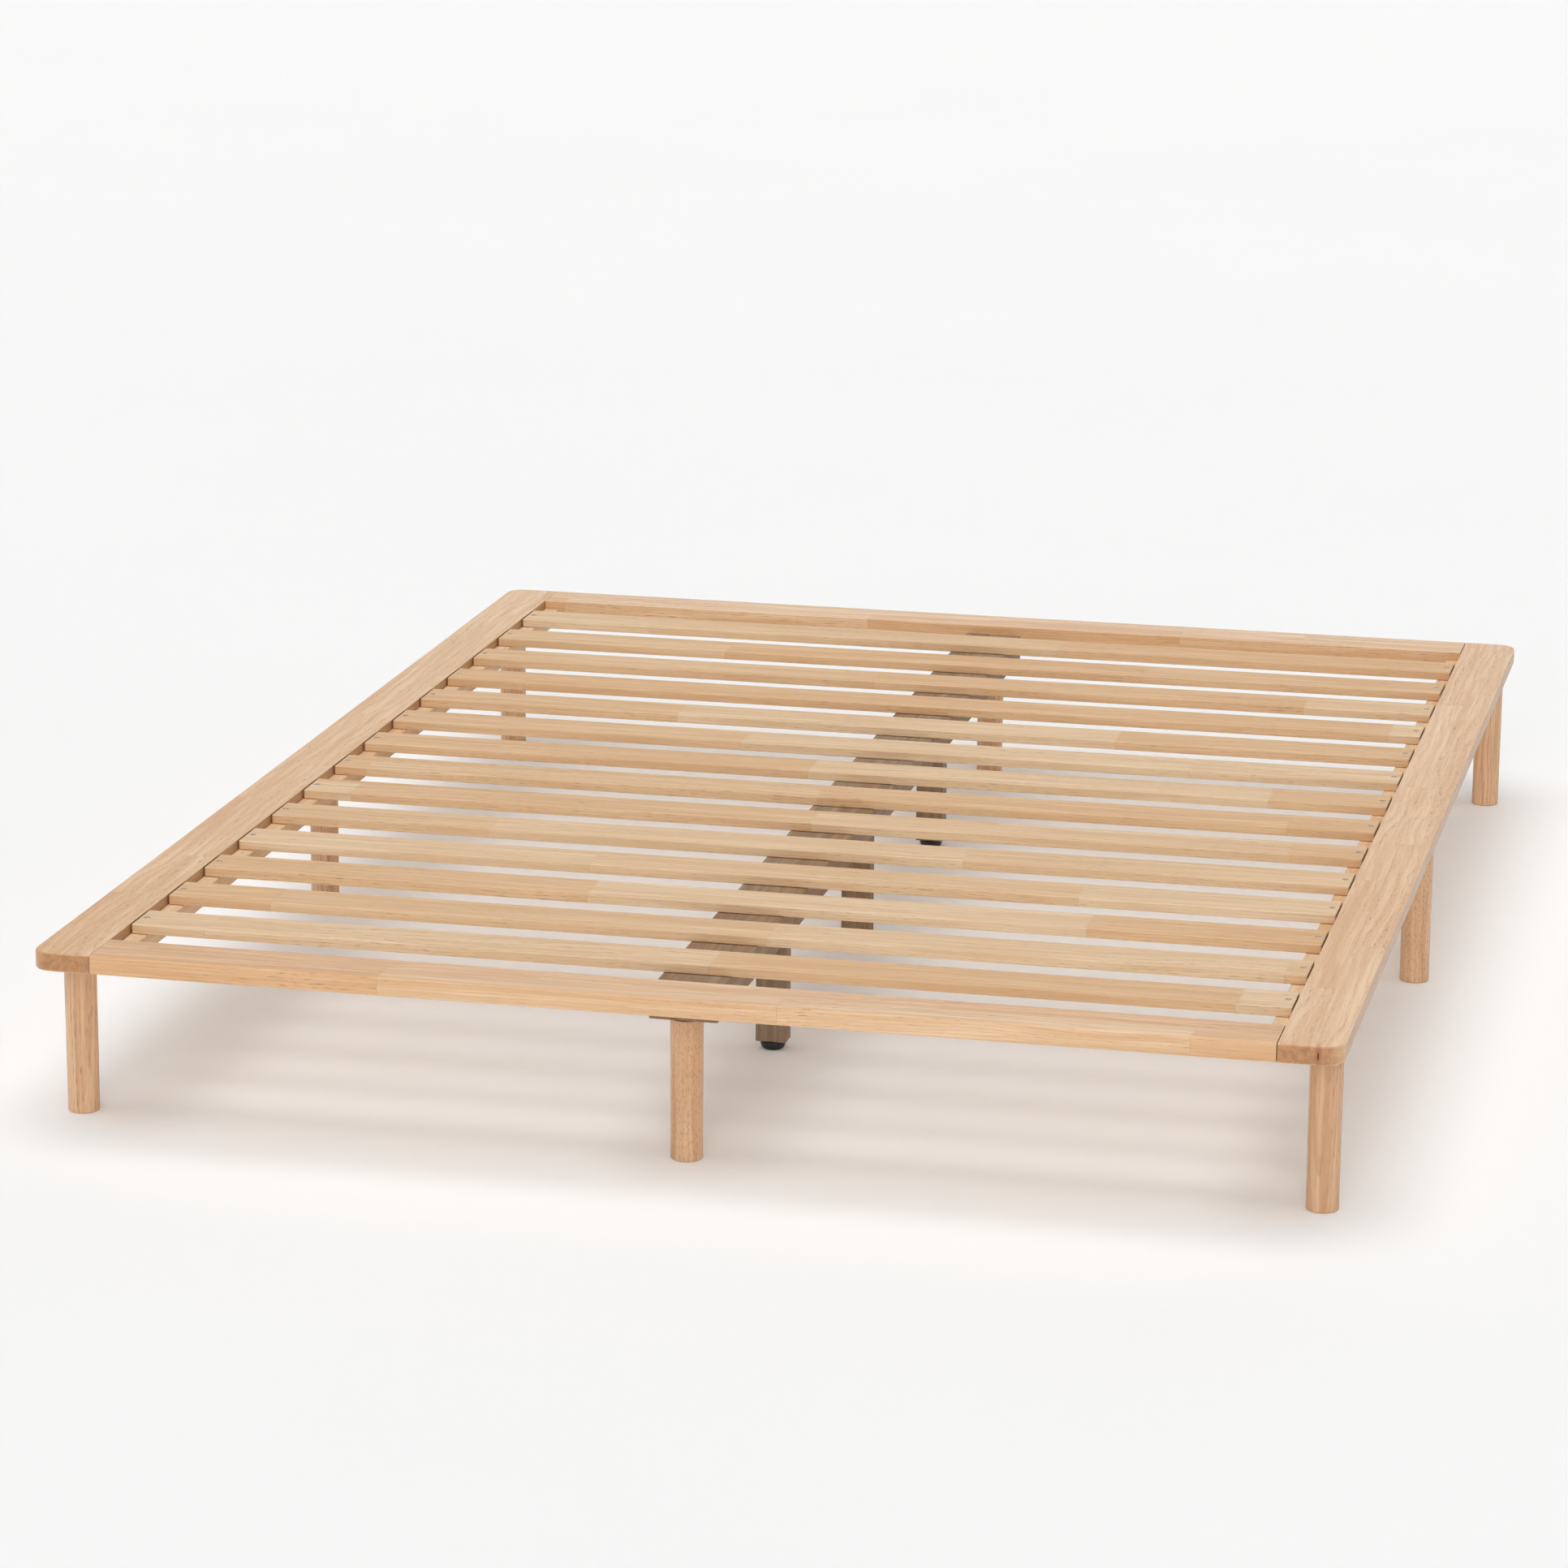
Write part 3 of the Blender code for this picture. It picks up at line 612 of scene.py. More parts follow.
def plated_steel(name):
    """Bright zinc plating: faint cloudy passivation, rolling marks and fine scratches."""
    finish = Finish(name, Metallic=1.0, IOR=2.0)
    here = finish.object_coordinates()
    clouds = finish.noise(here, 90, 3, 0.6, 0.8)
    spangle = finish.cells(1, here, 420)
    marks = finish.noise(here, (60, 2600, 2600), 3, 0.6)
    colour = finish.mix(finish.between(clouds, 0.35, 0.68), rgb(0.60, 0.60, 0.58), rgb(0.46, 0.48, 0.51))
    colour = finish.mix(0.10, colour, spangle, "MULTIPLY")
    colour = finish.mix(finish.between(clouds, 0.62, 0.80, 0.0, 0.35), colour, rgb(0.58, 0.52, 0.36))
    finish.set("Base Color", colour)
    finish.set("Roughness", finish.between(marks, 0.3, 0.7, 0.24, 0.42))
    finish.set("Normal", finish.bump(marks, 0.20, 0.03 * MM))
    return finish.material


def turned_brass(name):
    """Lathe-turned brass, a little tarnished in the low places."""
    finish = Finish(name, Metallic=1.0)
    here = finish.object_coordinates()
    clouds = finish.noise(here, 260, 3, 0.6)
    rings = finish.noise(here, (120, 120, 5200), 2)
    colour = finish.mix(finish.between(clouds, 0.3, 0.7), rgb(0.72, 0.52, 0.20), rgb(0.42, 0.27, 0.09))
    finish.set("Base Color", colour)
    finish.set("Roughness", finish.between(rings, 0.3, 0.7, 0.22, 0.45))
    finish.set("Normal", finish.bump(rings, 0.25, 0.02 * MM))
    return finish.material


def moulded_plastic(name):
    """Black moulded plastic: spark-eroded grain, dusty low places and a scuffed underside."""
    finish = Finish(name, IOR=1.5)
    here = finish.object_coordinates()
    texture = finish.noise(here, 3200, 3, 0.6)
    dust = finish.noise(here, 300, 4, 0.6)
    height = finish.step("ShaderNodeSeparateXYZ", 2, i0=here)
    scuff = finish.between(height, 0.0, 1.2 * MM, 0.5, 0.0)
    scuff = finish.maths("MULTIPLY", scuff, finish.between(dust, 0.4, 0.6))
    colour = finish.mix(finish.between(dust, 0.45, 0.8), rgb(0.011, 0.011, 0.012), rgb(0.030, 0.029, 0.028))
    colour = finish.mix(scuff, colour, rgb(0.085, 0.082, 0.078))
    finish.set("Base Color", colour)
    finish.set("Roughness", finish.between(texture, 0.3, 0.7, 0.34, 0.52))
    finish.set("Normal", finish.bump(texture, 0.35, 0.05 * MM))
    return finish.material


# Light wood, dark wood, end grain and pores of each kind of wood.
RAIL_COLOURS = ((0.850, 0.575, 0.345), (0.690, 0.400, 0.195), (0.520, 0.225, 0.080), (0.330, 0.150, 0.060))
LEG_COLOURS = ((0.840, 0.545, 0.330), (0.600, 0.330, 0.165), (0.520, 0.225, 0.080), (0.260, 0.125, 0.055))
SLAT_COLOURS = ((0.820, 0.590, 0.370), (0.700, 0.450, 0.250), (0.50, 0.31, 0.16), (0.36, 0.20, 0.09))
# The beam's colours are partly the wood's own grey-brown and partly painted shade: they are darkened to
# paint in the deep shade under the bed, on the centre beam and the support legs.
BEAM_COLOURS_WITH_PAINTED_SHADE = ((0.380, 0.265, 0.165), (0.245, 0.155, 0.088), (0.36, 0.21, 0.11), (0.20, 0.11, 0.05))

# How strongly the staves of the side rails differ in tone; the end rails' differ fully.
SIDE_MOTTLE = 0.45

# Stave width and stave length.
RAIL_STAVES = (0.037, 0.4755)
SLAT_STAVES = (0.40, 0.62)
BEAM_STAVES = (0.042, 0.45)

# A small knot in the end of the right side rail.
knot_low, knot_high = cad("side_rail_right")
KNOT_CENTRE = (knot_low[0] + 46 * MM, knot_low[1], knot_high[2] - 12 * MM)
KNOT_SIZE = (1.6 * MM, 9 * MM, 6.5 * MM)
KNOT = (KNOT_CENTRE, KNOT_SIZE)

RAIL_WOOD = wood("rail_wood", RAIL_COLOURS, RAIL_STAVES)
SIDE_RAIL_WOOD = wood("side_rail_wood", RAIL_COLOURS, RAIL_STAVES, SIDE_MOTTLE)
KNOTTED_RAIL_WOOD = wood("knotted_rail_wood", RAIL_COLOURS, RAIL_STAVES, SIDE_MOTTLE, knot=KNOT)
LEG_WOOD = wood("leg_wood", LEG_COLOURS, contrast=1.3)
FLECKED_LEG_WOOD = wood("flecked_leg_wood", LEG_COLOURS, rays=0.42, contrast=0.6)
SLAT_WOOD = wood("slat_wood", SLAT_COLOURS, SLAT_STAVES, gloss=0.62, coat=0.0)
# The wood of the centre beam and the support legs carries the painted shade in its colours.
BEAM_WOOD_WITH_PAINTED_SHADE = wood("beam_wood", BEAM_COLOURS_WITH_PAINTED_SHADE, BEAM_STAVES, gloss=0.62, coat=0.0)
ZINC_STEEL = plated_steel("zinc_steel")
INSERT_BRASS = turned_brass("insert_brass")
BLACK_PLASTIC = moulded_plastic("black_plastic")

WOOD_SEED = 11
wood_random = np.random.default_rng(WOOD_SEED)

# The stave that ends at the foot rail's finger joint, and where that joint is along X.
FRONT_ROW = 5
FRONT_STAVE = 29
FOOT_RAIL_JOINT = -0.345


def add_wood(node, mesh, material, along, staves=None, joint=None, twist=0.0, name=None):
    """A wooden piece with its place in the wood written on every point.

    It stands for a node, or for none where it has a name of its own. "grain" is (across, along,
    through) measured from the piece's middle, turned by twist about the length, plus an offset of
    its own; "end_grain" is |normal . length|^2. On a staved board the offset puts a seam on the
    middle line and, if asked, a finger joint at a place along the front.
    """
    add_piece(name or node + "_wood", mesh, material, "frame", node)
    points = np.empty(len(mesh.vertices) * 3, np.float32)
    mesh.vertices.foreach_get("co", points)
    points = points.reshape(-1, 3)
    normals = np.empty(len(mesh.loops) * 3, np.float32)
    mesh.corner_normals.foreach_get("vector", normals)
    normals = normals.reshape(-1, 3)
    centre = (points.min(0) + points.max(0)) / 2
    order = {"x": (1, 0, 2), "y": (0, 1, 2), "z": (0, 2, 1)}[along]
    local = (points - centre)[:, order]
    cos, sin = math.cos(twist), math.sin(twist)
    turn = np.array([[cos, 0, -sin], [0, 1, 0], [sin, 0, cos]])
    offset = wood_random.uniform(1.0, 9.0, 3)
    if staves:
        width, length = staves
        offset[0] = (FRONT_ROW + 1) * width
        if joint is not None:
            offset[1] = length * (FRONT_STAVE - FRONT_ROW * GOLDEN_STEP) - joint
    grain = mesh.attributes.new("grain", "FLOAT_VECTOR", "POINT")
    grain.data.foreach_set("vector", (local @ turn.T + offset).astype(np.float32).ravel())
    cut_square = np.abs(normals[:, order[1]]) ** 2
    end_grain = mesh.attributes.new("end_grain", "FLOAT", "CORNER")
    end_grain.data.foreach_set("value", cut_square.astype(np.float32))


# ---------------------------------------------------------------------------------------------
# Fasteners
# ---------------------------------------------------------------------------------------------

UPWARD = Matrix.Identity(4)
DOWNWARD = Matrix.Rotation(math.pi, 4, "X")
TO_RIGHT = Matrix.Rotation(math.pi / 2, 4, "Y")
TO_LEFT = Matrix.Rotation(-math.pi / 2, 4, "Y")
TO_HEAD = Matrix.Rotation(-math.pi / 2, 4, "X")
TO_FOOT = Matrix.Rotation(math.pi / 2, 4, "X")


def at(x, y, z, turn=UPWARD):
    return Matrix.Translation(Vector((x, y, z))) @ turn


def cylinder(radius, top, bottom, sides=HOLE_SIDES):
    return capped(turned([(radius, top), (radius, bottom)], sides))


def countersunk_hole(screw):
    """A cone under a short straight mouth, then the shank's bore."""
    mouth = screw.head + HOLE_GAP
    bore = screw.shank + HOLE_GAP
    profile = [
        (mouth, MOUTH),
        (mouth, -HOLE_GAP),
        (bore, -screw.head_height - HOLE_GAP),
        (bore, -screw.length - screw.shank - HOLE_GAP),
    ]
    return capped(turned(profile, HOLE_SIDES))


def pan_hole(screw):
    return cylinder(screw.shank + HOLE_GAP, -screw.head_height / 2, -screw.length - screw.shank - HOLE_GAP)


def cross_recess():
    """A plus-shaped pocket, narrowing as it goes down."""
    arm, reach = RECESS_WIDTH / 2, RECESS_REACH
    quarter = np.array([(reach, -arm), (reach, arm), (arm, arm)])
    angles = np.arange(4) * math.pi / 2
    turns = [np.array([[math.cos(a), -math.sin(a)], [math.sin(a), math.cos(a)]]) for a in angles]
    outline = np.concatenate([quarter @ turn.T for turn in turns])
    levels = [(1.35, 0.6 * MM), (1.0, 0.0), (0.45, -RECESS_DEPTH)]
    rings = [np.column_stack([outline * share, np.full(len(outline), height)]) for share, height in levels]
    return capped(np.array(rings))


def screw_shape(name, screw, crown):
    """A wood screw, head up: crown, cone or collar, neck, and a helical thread down to a point.

    Along the thread the radius is the shank's less a clipped triangle wave of the helix.
    """
    shank = screw.shank
    core = shank * 0.62
    thread_length = screw.length - screw.head_height - 2 * shank
    rows = int(thread_length / SCREW_PITCH * SCREW_ROWS_PER_TURN)
    start = -screw.head_height - SCREW_NECK
    neck = len(crown)
    profile = [*crown, (shank * 0.8, start)]
    profile += [(shank, start - step * thread_length / rows) for step in range(1, rows)]
    profile += [(core * 0.7, -screw.length + 1.5 * MM), (0.15 * MM, -screw.length)]
    heights = np.array([height for _, height in profile])
    threaded = np.zeros(len(profile), bool)
    threaded[neck + 1 : neck + rows] = True
    grow = np.clip((start - heights) / (2 * MM), 0, 1)

    def radius_at(radius, angle, height):
        phase = (height / SCREW_PITCH - angle / (2 * math.pi)) % 1
        wave = np.clip(np.abs(phase - 0.5) * 2.6 - 0.25, 0, 1)
        cut = (shank - core) * wave * grow[:, None]
        return np.where(threaded[:, None], shank - cut, radius)

    mesh = cut_out(name, capped(turned(profile, SCREW_SIDES, radius_at)), cross_recess())
    points = np.array([vertex.co for vertex in mesh.vertices])
    return points, [list(face.vertices) for face in mesh.polygons]


def flat_crown(screw):
    """A countersunk head: flat top, a thin rim, and the cone."""
    head = screw.head
    rim = [(head - 0.15 * MM, 0.0), (head, -0.12 * MM), (head, -0.25 * MM)]
    return [*rim, (screw.shank * 0.95, -screw.head_height)]


def domed_crown(screw):
    """A pan head: an elliptical dome down to its flat seat."""
    seat = -screw.head_height
    dome = arc((0, seat), (screw.head, screw.head_height), 78, 8, 7)
    top = dome[0][1]
    crown = [(radius, height - top) for radius, height in dome]
    return [*crown, (screw.head, seat), (screw.shank * 0.95, seat)]


def threaded_section(top, bottom, radius, depth, pitch, sides):
    """Rings of one threaded stretch, whose thread fades to its root within a pitch of either end."""
    rows = max(2, int((top - bottom) / pitch * ROWS_PER_TURN))
    heights = np.linspace(top, bottom, rows)
    full = np.clip(np.minimum(top - heights, heights - bottom) / pitch, 0, 1)[:, None]
    crest = thread(radius, depth, pitch)

    def radius_at(plain, angle, height):
        return (radius - depth) * (1 - full) + crest(plain, angle, height) * full

    return turned(np.column_stack([np.full(rows, radius), heights]), sides, radius_at)


def threaded_rod(sections, sides=THREAD_SIDES):
    """A rod whose thread changes along it: each section is (top, bottom, radius, depth, pitch)."""
    return capped(np.concatenate([threaded_section(*section, sides) for section in sections]))


def slat_names():
    return [f"slat_{index:02d}" for index in range(1, SLAT_COUNT + 1)]


def support_rows():
    return [middle(f"support_leg_{index}")[1] for index in range(1, SUPPORT_COUNT + 1)]


def slat_screws_at(side, y):
    x = middle("side_cleat_right")[0] * side
    return at(x, y, cad("slat_01")[1][2] - HEAD_SINK)


def cleat_screws_at(side):
    """Screws between the slats, through the cleat into the rail's edge."""
    centres = [middle(name)[1] for name in slat_names()]
    gaps = [(a + b) / 2 for a, b in zip(centres, centres[1:])]
    last = CLEAT_SCREW_COUNT - 1
    picks = [round((len(gaps) - 1) * index / last) for index in range(CLEAT_SCREW_COUNT)]
    low, high = cad("side_cleat_right")
    z = (high[2] + cad("side_rail_right")[0][2]) / 2
    turn = TO_LEFT if side > 0 else TO_RIGHT
    return [at(side * (low[0] + HEAD_SINK), gaps[pick], z, turn) for pick in picks]


def dowels_at():
    """Side, end and place of each rail dowel."""
    places = []
    x = cad("side_rail_right")[0][0]
    for end, end_name in ENDS:
        _, y, z = middle(end_name + "_rail")
        for side, turn in ((-1, TO_LEFT), (1, TO_RIGHT)):
            for offset in (-DOWEL_SPACING / 2, DOWEL_SPACING / 2):
                places.append((side, end, at(side * x, y + offset, z, turn)))
    return places


def plate_screws_at():
    """Side, end, distance from the bed's middle line and place of each joining plate screw."""
    seat = cad("joining_plate_foot_left")[0][2] - BRACKET_SEAT_GAP - PAN_SCREW.head_height
    joint = cad("side_rail_right")[0][0]
    places = []
    for end, end_name in ENDS:
        y = middle(end_name + "_rail")[1]
        for side, _ in SIDES:
            for offset in PLATE_SCREW_OFFSETS:
                for x in (joint - offset, joint + offset):
                    places.append((side, end, x, at(side * x, y, seat, DOWNWARD)))
    return places


def bracket_screws_at():
    """End, the piece it holds and place of each screw of the beam's brackets."""
    places = []
    top = cad("beam_bracket_foot")[1][2]
    below = top - STEEL_THICKNESS - BRACKET_SEAT_GAP - PAN_SCREW.head_height
    bend = cad("head_rail")[0][1]
    outside = bend + STEEL_THICKNESS + BRACKET_SEAT_GAP + PAN_SCREW.head_height
    for end, turn in ((-1, TO_FOOT), (1, TO_HEAD)):
        for x in (-BRACKET_SCREW_SPACING / 2, BRACKET_SCREW_SPACING / 2):
            places.append((end, "rail", at(x, end * (bend + BRACKET_SCREW_FROM_BEND), below, DOWNWARD)))
            places.append((end, "beam", at(x, end * outside, top - BRACKET_SCREW_DOWN, turn)))
    return places


def insert_seats():
    """Where a threaded sleeve opens downwards, over every leg."""
    seats = []
    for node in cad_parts:
        if node.startswith("leg_bolt"):
            x, y, _ = middle(node)
            above = "centre_beam" if "centre" in node else "side_rail_right"
            seats.append((x, y, cad(above)[0][2]))
    return seats + [(0.0, y, cad("centre_beam")[0][2]) for y in support_rows()]


DOWEL_HOLE = cylinder(DOWEL_RADIUS + HOLE_GAP, DOWEL_LENGTH / 2 + HOLE_GAP, -DOWEL_LENGTH / 2 - HOLE_GAP)
INSERT_HOLE = cylinder(INSERT_RADIUS + HOLE_GAP, INSERT_LENGTH + 2 * HOLE_GAP, -HOLE_GAP)
SLAT_HOLE = countersunk_hole(SLAT_SCREW)
CLEAT_HOLE = countersunk_hole(CLEAT_SCREW)
PAN_HOLE = pan_hole(PAN_SCREW)

# Plate screws nearer the middle than this hold the end rail, and the others hold the side rail.
PLATE_MIDDLE = middle("joining_plate_foot_right")[0]


# ---------------------------------------------------------------------------------------------
# Wooden pieces
# ---------------------------------------------------------------------------------------------


def build_side_rails():
    """Outer corners rounded in plan; the inner edge beside the slats is only just eased."""
    for side, side_name in SIDES:
        name = "side_rail_" + side_name
        if side > 0:
            rounds = (INNER_ROUND, RAIL_ROUND, RAIL_ROUND, RAIL_ROUND)
            corners = (RAIL_CORNER, RAIL_CORNER, SQUARE_CORNER, SQUARE_CORNER)
        else:
            rounds = (RAIL_ROUND, INNER_ROUND, RAIL_ROUND, RAIL_ROUND)
            corners = (SQUARE_CORNER, SQUARE_CORNER, RAIL_CORNER, RAIL_CORNER)
        seats = [at(x, y, z) for x, y, z in insert_seats() if x * side > BEAM_ZONE]
        screws = [place for s, _, x, place in plate_screws_at() if s == side and x > PLATE_MIDDLE]
        holes = joined(
            copies(INSERT_HOLE, seats),
            copies(DOWEL_HOLE, [place for s, _, place in dowels_at() if s == side]),
            copies(PAN_HOLE, screws),
            copies(CLEAT_HOLE, cleat_screws_at(side)),
        )
        mesh = cut_out(name + "_wood", board(*cad(name), rounds, corners), holes)
        material = KNOTTED_RAIL_WOOD if side > 0 else SIDE_RAIL_WOOD
        add_wood(name, mesh, material, "y", RAIL_STAVES)


def build_end_rails():
    """Square ends against the side rails, round outer edges, eased inner edges."""
    for end, end_name in ENDS:
        name = end_name + "_rail"
        low, high = cad(name)
        low[0] += LEFT_JOINT_GAP
        high[0] -= RIGHT_JOINT_GAP
        faces = (RAIL_ROUND, INNER_ROUND) if end < 0 else (INNER_ROUND, RAIL_ROUND)
        plate_screws = [place for _, e, x, place in plate_screws_at() if e == end and x < PLATE_MIDDLE]
        beam_screws = [place for e, held, place in bracket_screws_at() if e == end and held == "rail"]
        holes = joined(
            copies(DOWEL_HOLE, [place for _, e, place in dowels_at() if e == end]),
            copies(PAN_HOLE, plate_screws),
            copies(PAN_HOLE, beam_screws),
        )
        mesh = cut_out(name + "_wood", board(low, high, (JOINT_ROUND, JOINT_ROUND, *faces)), holes)
        joint = FOOT_RAIL_JOINT if end < 0 else None
        add_wood(name, mesh, RAIL_WOOD, "x", RAIL_STAVES, joint)


def build_legs():
    """Turned legs: eased top, slight taper, rounded foot, and a blind bolt hole in the top."""
    for name in [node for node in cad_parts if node.startswith("leg_") and "bolt" not in node]:
        low, high = cad(name)
        x, y, _ = middle(name)
        top = high[2]
        wide = (high[0] - low[0]) / 2
        narrow = wide - LEG_TAPER
        taper = [
            (wide + (narrow - wide) * share, top + (LEG_FOOT_ROUND - top) * share)
            for share in np.linspace(0.02, 0.98, LEG_ROWS)
        ]
        foot_centre = (narrow - LEG_FOOT_ROUND, LEG_FOOT_ROUND)
        profile = [
            (BOLT_HOLE_RADIUS, top - BOLT_HOLE_DEPTH),
            (BOLT_HOLE_RADIUS, top - LEG_TOP_EASE),
            (BOLT_HOLE_RADIUS + LEG_TOP_EASE, top),
            (wide - LEG_TOP_EASE - GUARD, top),
            (wide - LEG_TOP_EASE, top),
            (wide, top - LEG_TOP_EASE),
            *taper,
            *arc(foot_centre, (LEG_FOOT_ROUND, LEG_FOOT_ROUND), 0, -90, 8),
            (narrow - LEG_FOOT_ROUND - GUARD, 0.0),
        ]
        mesh = new_mesh(name + "_wood", standing(capped(turned(profile, LEG_SIDES)), x, y))
        material = FLECKED_LEG_WOOD if "centre" in name or "side" in name else LEG_WOOD
        add_wood(name, mesh, material, "z", twist=wood_random.uniform(0, math.pi))


def build_slats():
    for name in slat_names():
        holes = copies(SLAT_HOLE, [slat_screws_at(side, middle(name)[1]) for side, _ in SIDES])
        mesh = cut_out(name + "_wood", board(*cad(name), SLAT_ROUND, SLAT_CORNER), holes)
        add_wood(name, mesh, SLAT_WOOD, "x")


def build_cleats():
    for side, side_name in SIDES:
        name = "side_cleat_" + side_name
        holes = joined(
            copies(SLAT_HOLE, [slat_screws_at(side, middle(slat)[1]) for slat in slat_names()]),
            copies(CLEAT_HOLE, cleat_screws_at(side)),
        )
        mesh = cut_out(name + "_wood", board(*cad(name), CLEAT_ROUND, CLEAT_CORNER), holes)
        add_wood(name, mesh, SLAT_WOOD, "y")


def build_beam():
    seats = [at(x, y, z) for x, y, z in insert_seats() if abs(x) < BEAM_ZONE]
    screws = [place for _, held, place in bracket_screws_at() if held == "beam"]
    holes = joined(copies(INSERT_HOLE, seats), copies(PAN_HOLE, screws))
    mesh = cut_out("centre_beam_wood", board(*cad("centre_beam"), BEAM_ROUND, BEAM_CORNER), holes)
    add_wood("centre_beam", mesh, BEAM_WOOD_WITH_PAINTED_SHADE, "y")


def build_support_legs():
    """Squared legs with a bolt hole above and the stepped insert and stem hole below."""
    stem_hole = METRIC_RADIUS + HOLE_GAP
    insert_hole = INSERT_RADIUS + HOLE_GAP
    for index in range(1, SUPPORT_COUNT + 1):
        name = f"support_leg_{index}"
        low, high = cad(name)
        y = middle(name)[1]
        room = cad(f"levelling_stem_{index}")[1][2] - low[2] + STEM_HOLE_ROOM
        profile = [
            (stem_hole, room),
            (stem_hole, INSERT_LENGTH + HOLE_GAP),
            (insert_hole, INSERT_LENGTH + HOLE_GAP),
            (insert_hole, -HOLE_GAP),
        ]
        stepped = capped(turned(profile, HOLE_SIDES))
        bolt_hole = cylinder(BOLT_HOLE_RADIUS, HOLE_GAP, -BOLT_HOLE_DEPTH)
        holes = joined(copies(stepped, [at(0, y, low[2])]), copies(bolt_hole, [at(0, y, high[2])]))
        mesh = cut_out(name + "_wood", board(low, high, SUPPORT_ROUND, SUPPORT_CORNER), holes)
        add_wood(name, mesh, BEAM_WOOD_WITH_PAINTED_SHADE, "z")


def build_dowels():
    """Fluted beech pins: the radius dips at every flute, and both ends are chamfered."""
    half = DOWEL_LENGTH / 2
    tip = [
        (DOWEL_RADIUS - 1.2 * MM, half),
        (DOWEL_RADIUS - 0.2 * MM, half - 1.0 * MM),
        (DOWEL_RADIUS, half - 1.4 * MM),
    ]
    profile = tip + [(radius, -height) for radius, height in reversed(tip)]

    def fluted(radius, angle, _):
        dip = np.clip(np.cos(angle * DOWEL_FLUTES), 0, 1) ** 2
        return radius - FLUTE_DEPTH * dip

    shape = capped(turned(profile, DOWEL_FLUTES * 6, fluted))
    mesh = new_mesh("rail_dowels", copies(shape, [place for _, _, place in dowels_at()]))
    add_wood(None, mesh, SLAT_WOOD, "x", name="rail_dowels")


# ---------------------------------------------------------------------------------------------
# Metal and plastic pieces
# ---------------------------------------------------------------------------------------------


def build_wood_screws():
    """Every kind of screw as one group, each screw turned by an angle of its own."""
    slat_places = [slat_screws_at(side, middle(name)[1]) for name in slat_names() for side, _ in SIDES]
    groups = (
        ("slat_screws", SLAT_SCREW, flat_crown, slat_places),
        ("cleat_screws", CLEAT_SCREW, flat_crown, cleat_screws_at(-1) + cleat_screws_at(1)),
        ("plate_screws", PAN_SCREW, domed_crown, [place for _, _, _, place in plate_screws_at()]),
        ("bracket_screws", PAN_SCREW, domed_crown, [place for _, _, place in bracket_screws_at()]),
    )
    for name, screw, crown, places in groups:
        shape = screw_shape(name, screw, crown(screw))
        turns = wood_random.uniform(0, math.pi / 2, len(places))
        turned_places = [place @ Matrix.Rotation(turn, 4, "Z") for place, turn in zip(places, turns)]
        mesh = new_mesh(name, copies(shape, turned_places))
        add_piece(name, mesh, ZINC_STEEL, "frame")


def build_hanger_bolts():
    """Machine thread above for the insert, coarse wood thread below for the leg."""
    for name in [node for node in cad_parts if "bolt" in node]:
        low, high = cad(name)
        x, y, _ = middle(name)
        seam = high[2] - MACHINE_LENGTH
        sections = (
            (high[2], seam, METRIC_RADIUS, METRIC_DEPTH, METRIC_PITCH),
            (seam - BOLT_NECK, low[2], METRIC_RADIUS, WOOD_DEPTH, WOOD_PITCH),
        )
        add_steel(name, standing(threaded_rod(sections, BOLT_SIDES), x, y))


def sleeve():
    """A threaded sleeve: metric thread in its bore, coarse thread outside, flat ends."""
    rows = int(INSERT_LENGTH / METRIC_PITCH * ROWS_PER_TURN)
    heights = np.linspace(0, INSERT_LENGTH, rows)
    bore = np.column_stack([np.full(rows, METRIC_RADIUS), heights])
    inside = turned(bore, THREAD_SIDES, thread(METRIC_RADIUS, METRIC_DEPTH, METRIC_PITCH, THREAD_GAP))
    skin = np.column_stack([np.full(rows, INSERT_RADIUS), heights[::-1]])
    outside = turned(skin, THREAD_SIDES, thread(INSERT_RADIUS, INSERT_DEPTH, INSERT_PITCH))
    return looped(np.concatenate([inside, outside]))


def build_inserts():
    """Sleeves over every leg, and one in each support leg round its levelling stem."""
    shape = sleeve()
    mesh = new_mesh("leg_inserts", copies(shape, [at(*seat) for seat in insert_seats()]))
    add_piece("leg_inserts", mesh, INSERT_BRASS, "frame")
    for index in range(1, SUPPORT_COUNT + 1):
        name = f"levelling_insert_{index}"
        low, _ = cad(name)
        phase = low[2] / METRIC_PITCH * 2 * math.pi
        place = at(0, middle(name)[1], low[2], Matrix.Rotation(phase, 4, "Z"))
        mesh = new_mesh(name + "_brass", copies(shape, [place]))
        add_piece(name + "_brass", mesh, INSERT_BRASS, "frame", name)


def pad_profile(rim, top, socket):
    """Half the pad's outline: socket, boss, well, lip, rounded rim and the dome down to the floor."""
    seat = METRIC_RADIUS + HOLE_GAP
    shoulder = top - PAD_RIM
    dome = arc((PAD_FLOOR_RADIUS, shoulder), (rim - PAD_FLOOR_RADIUS, shoulder), 0, -90, 20)
    return [
        (seat, socket),
        (seat, top - PAD_CHAMFER),
        (seat + PAD_CHAMFER, top),
        (seat + PAD_BOSS, top),
        (seat + PAD_BOSS + PAD_SLOPE, top - PAD_WELL),
        (rim - PAD_LIP - PAD_SLOPE, top - PAD_WELL),
        (rim - PAD_LIP, top),
        (rim - PAD_RIM, top),
        *arc((rim - PAD_RIM, shoulder), (PAD_RIM, PAD_RIM), 75, 0, 4),
        *dome[1:],
        (PAD_FLOOR_RADIUS - GUARD, 0.0),
    ]


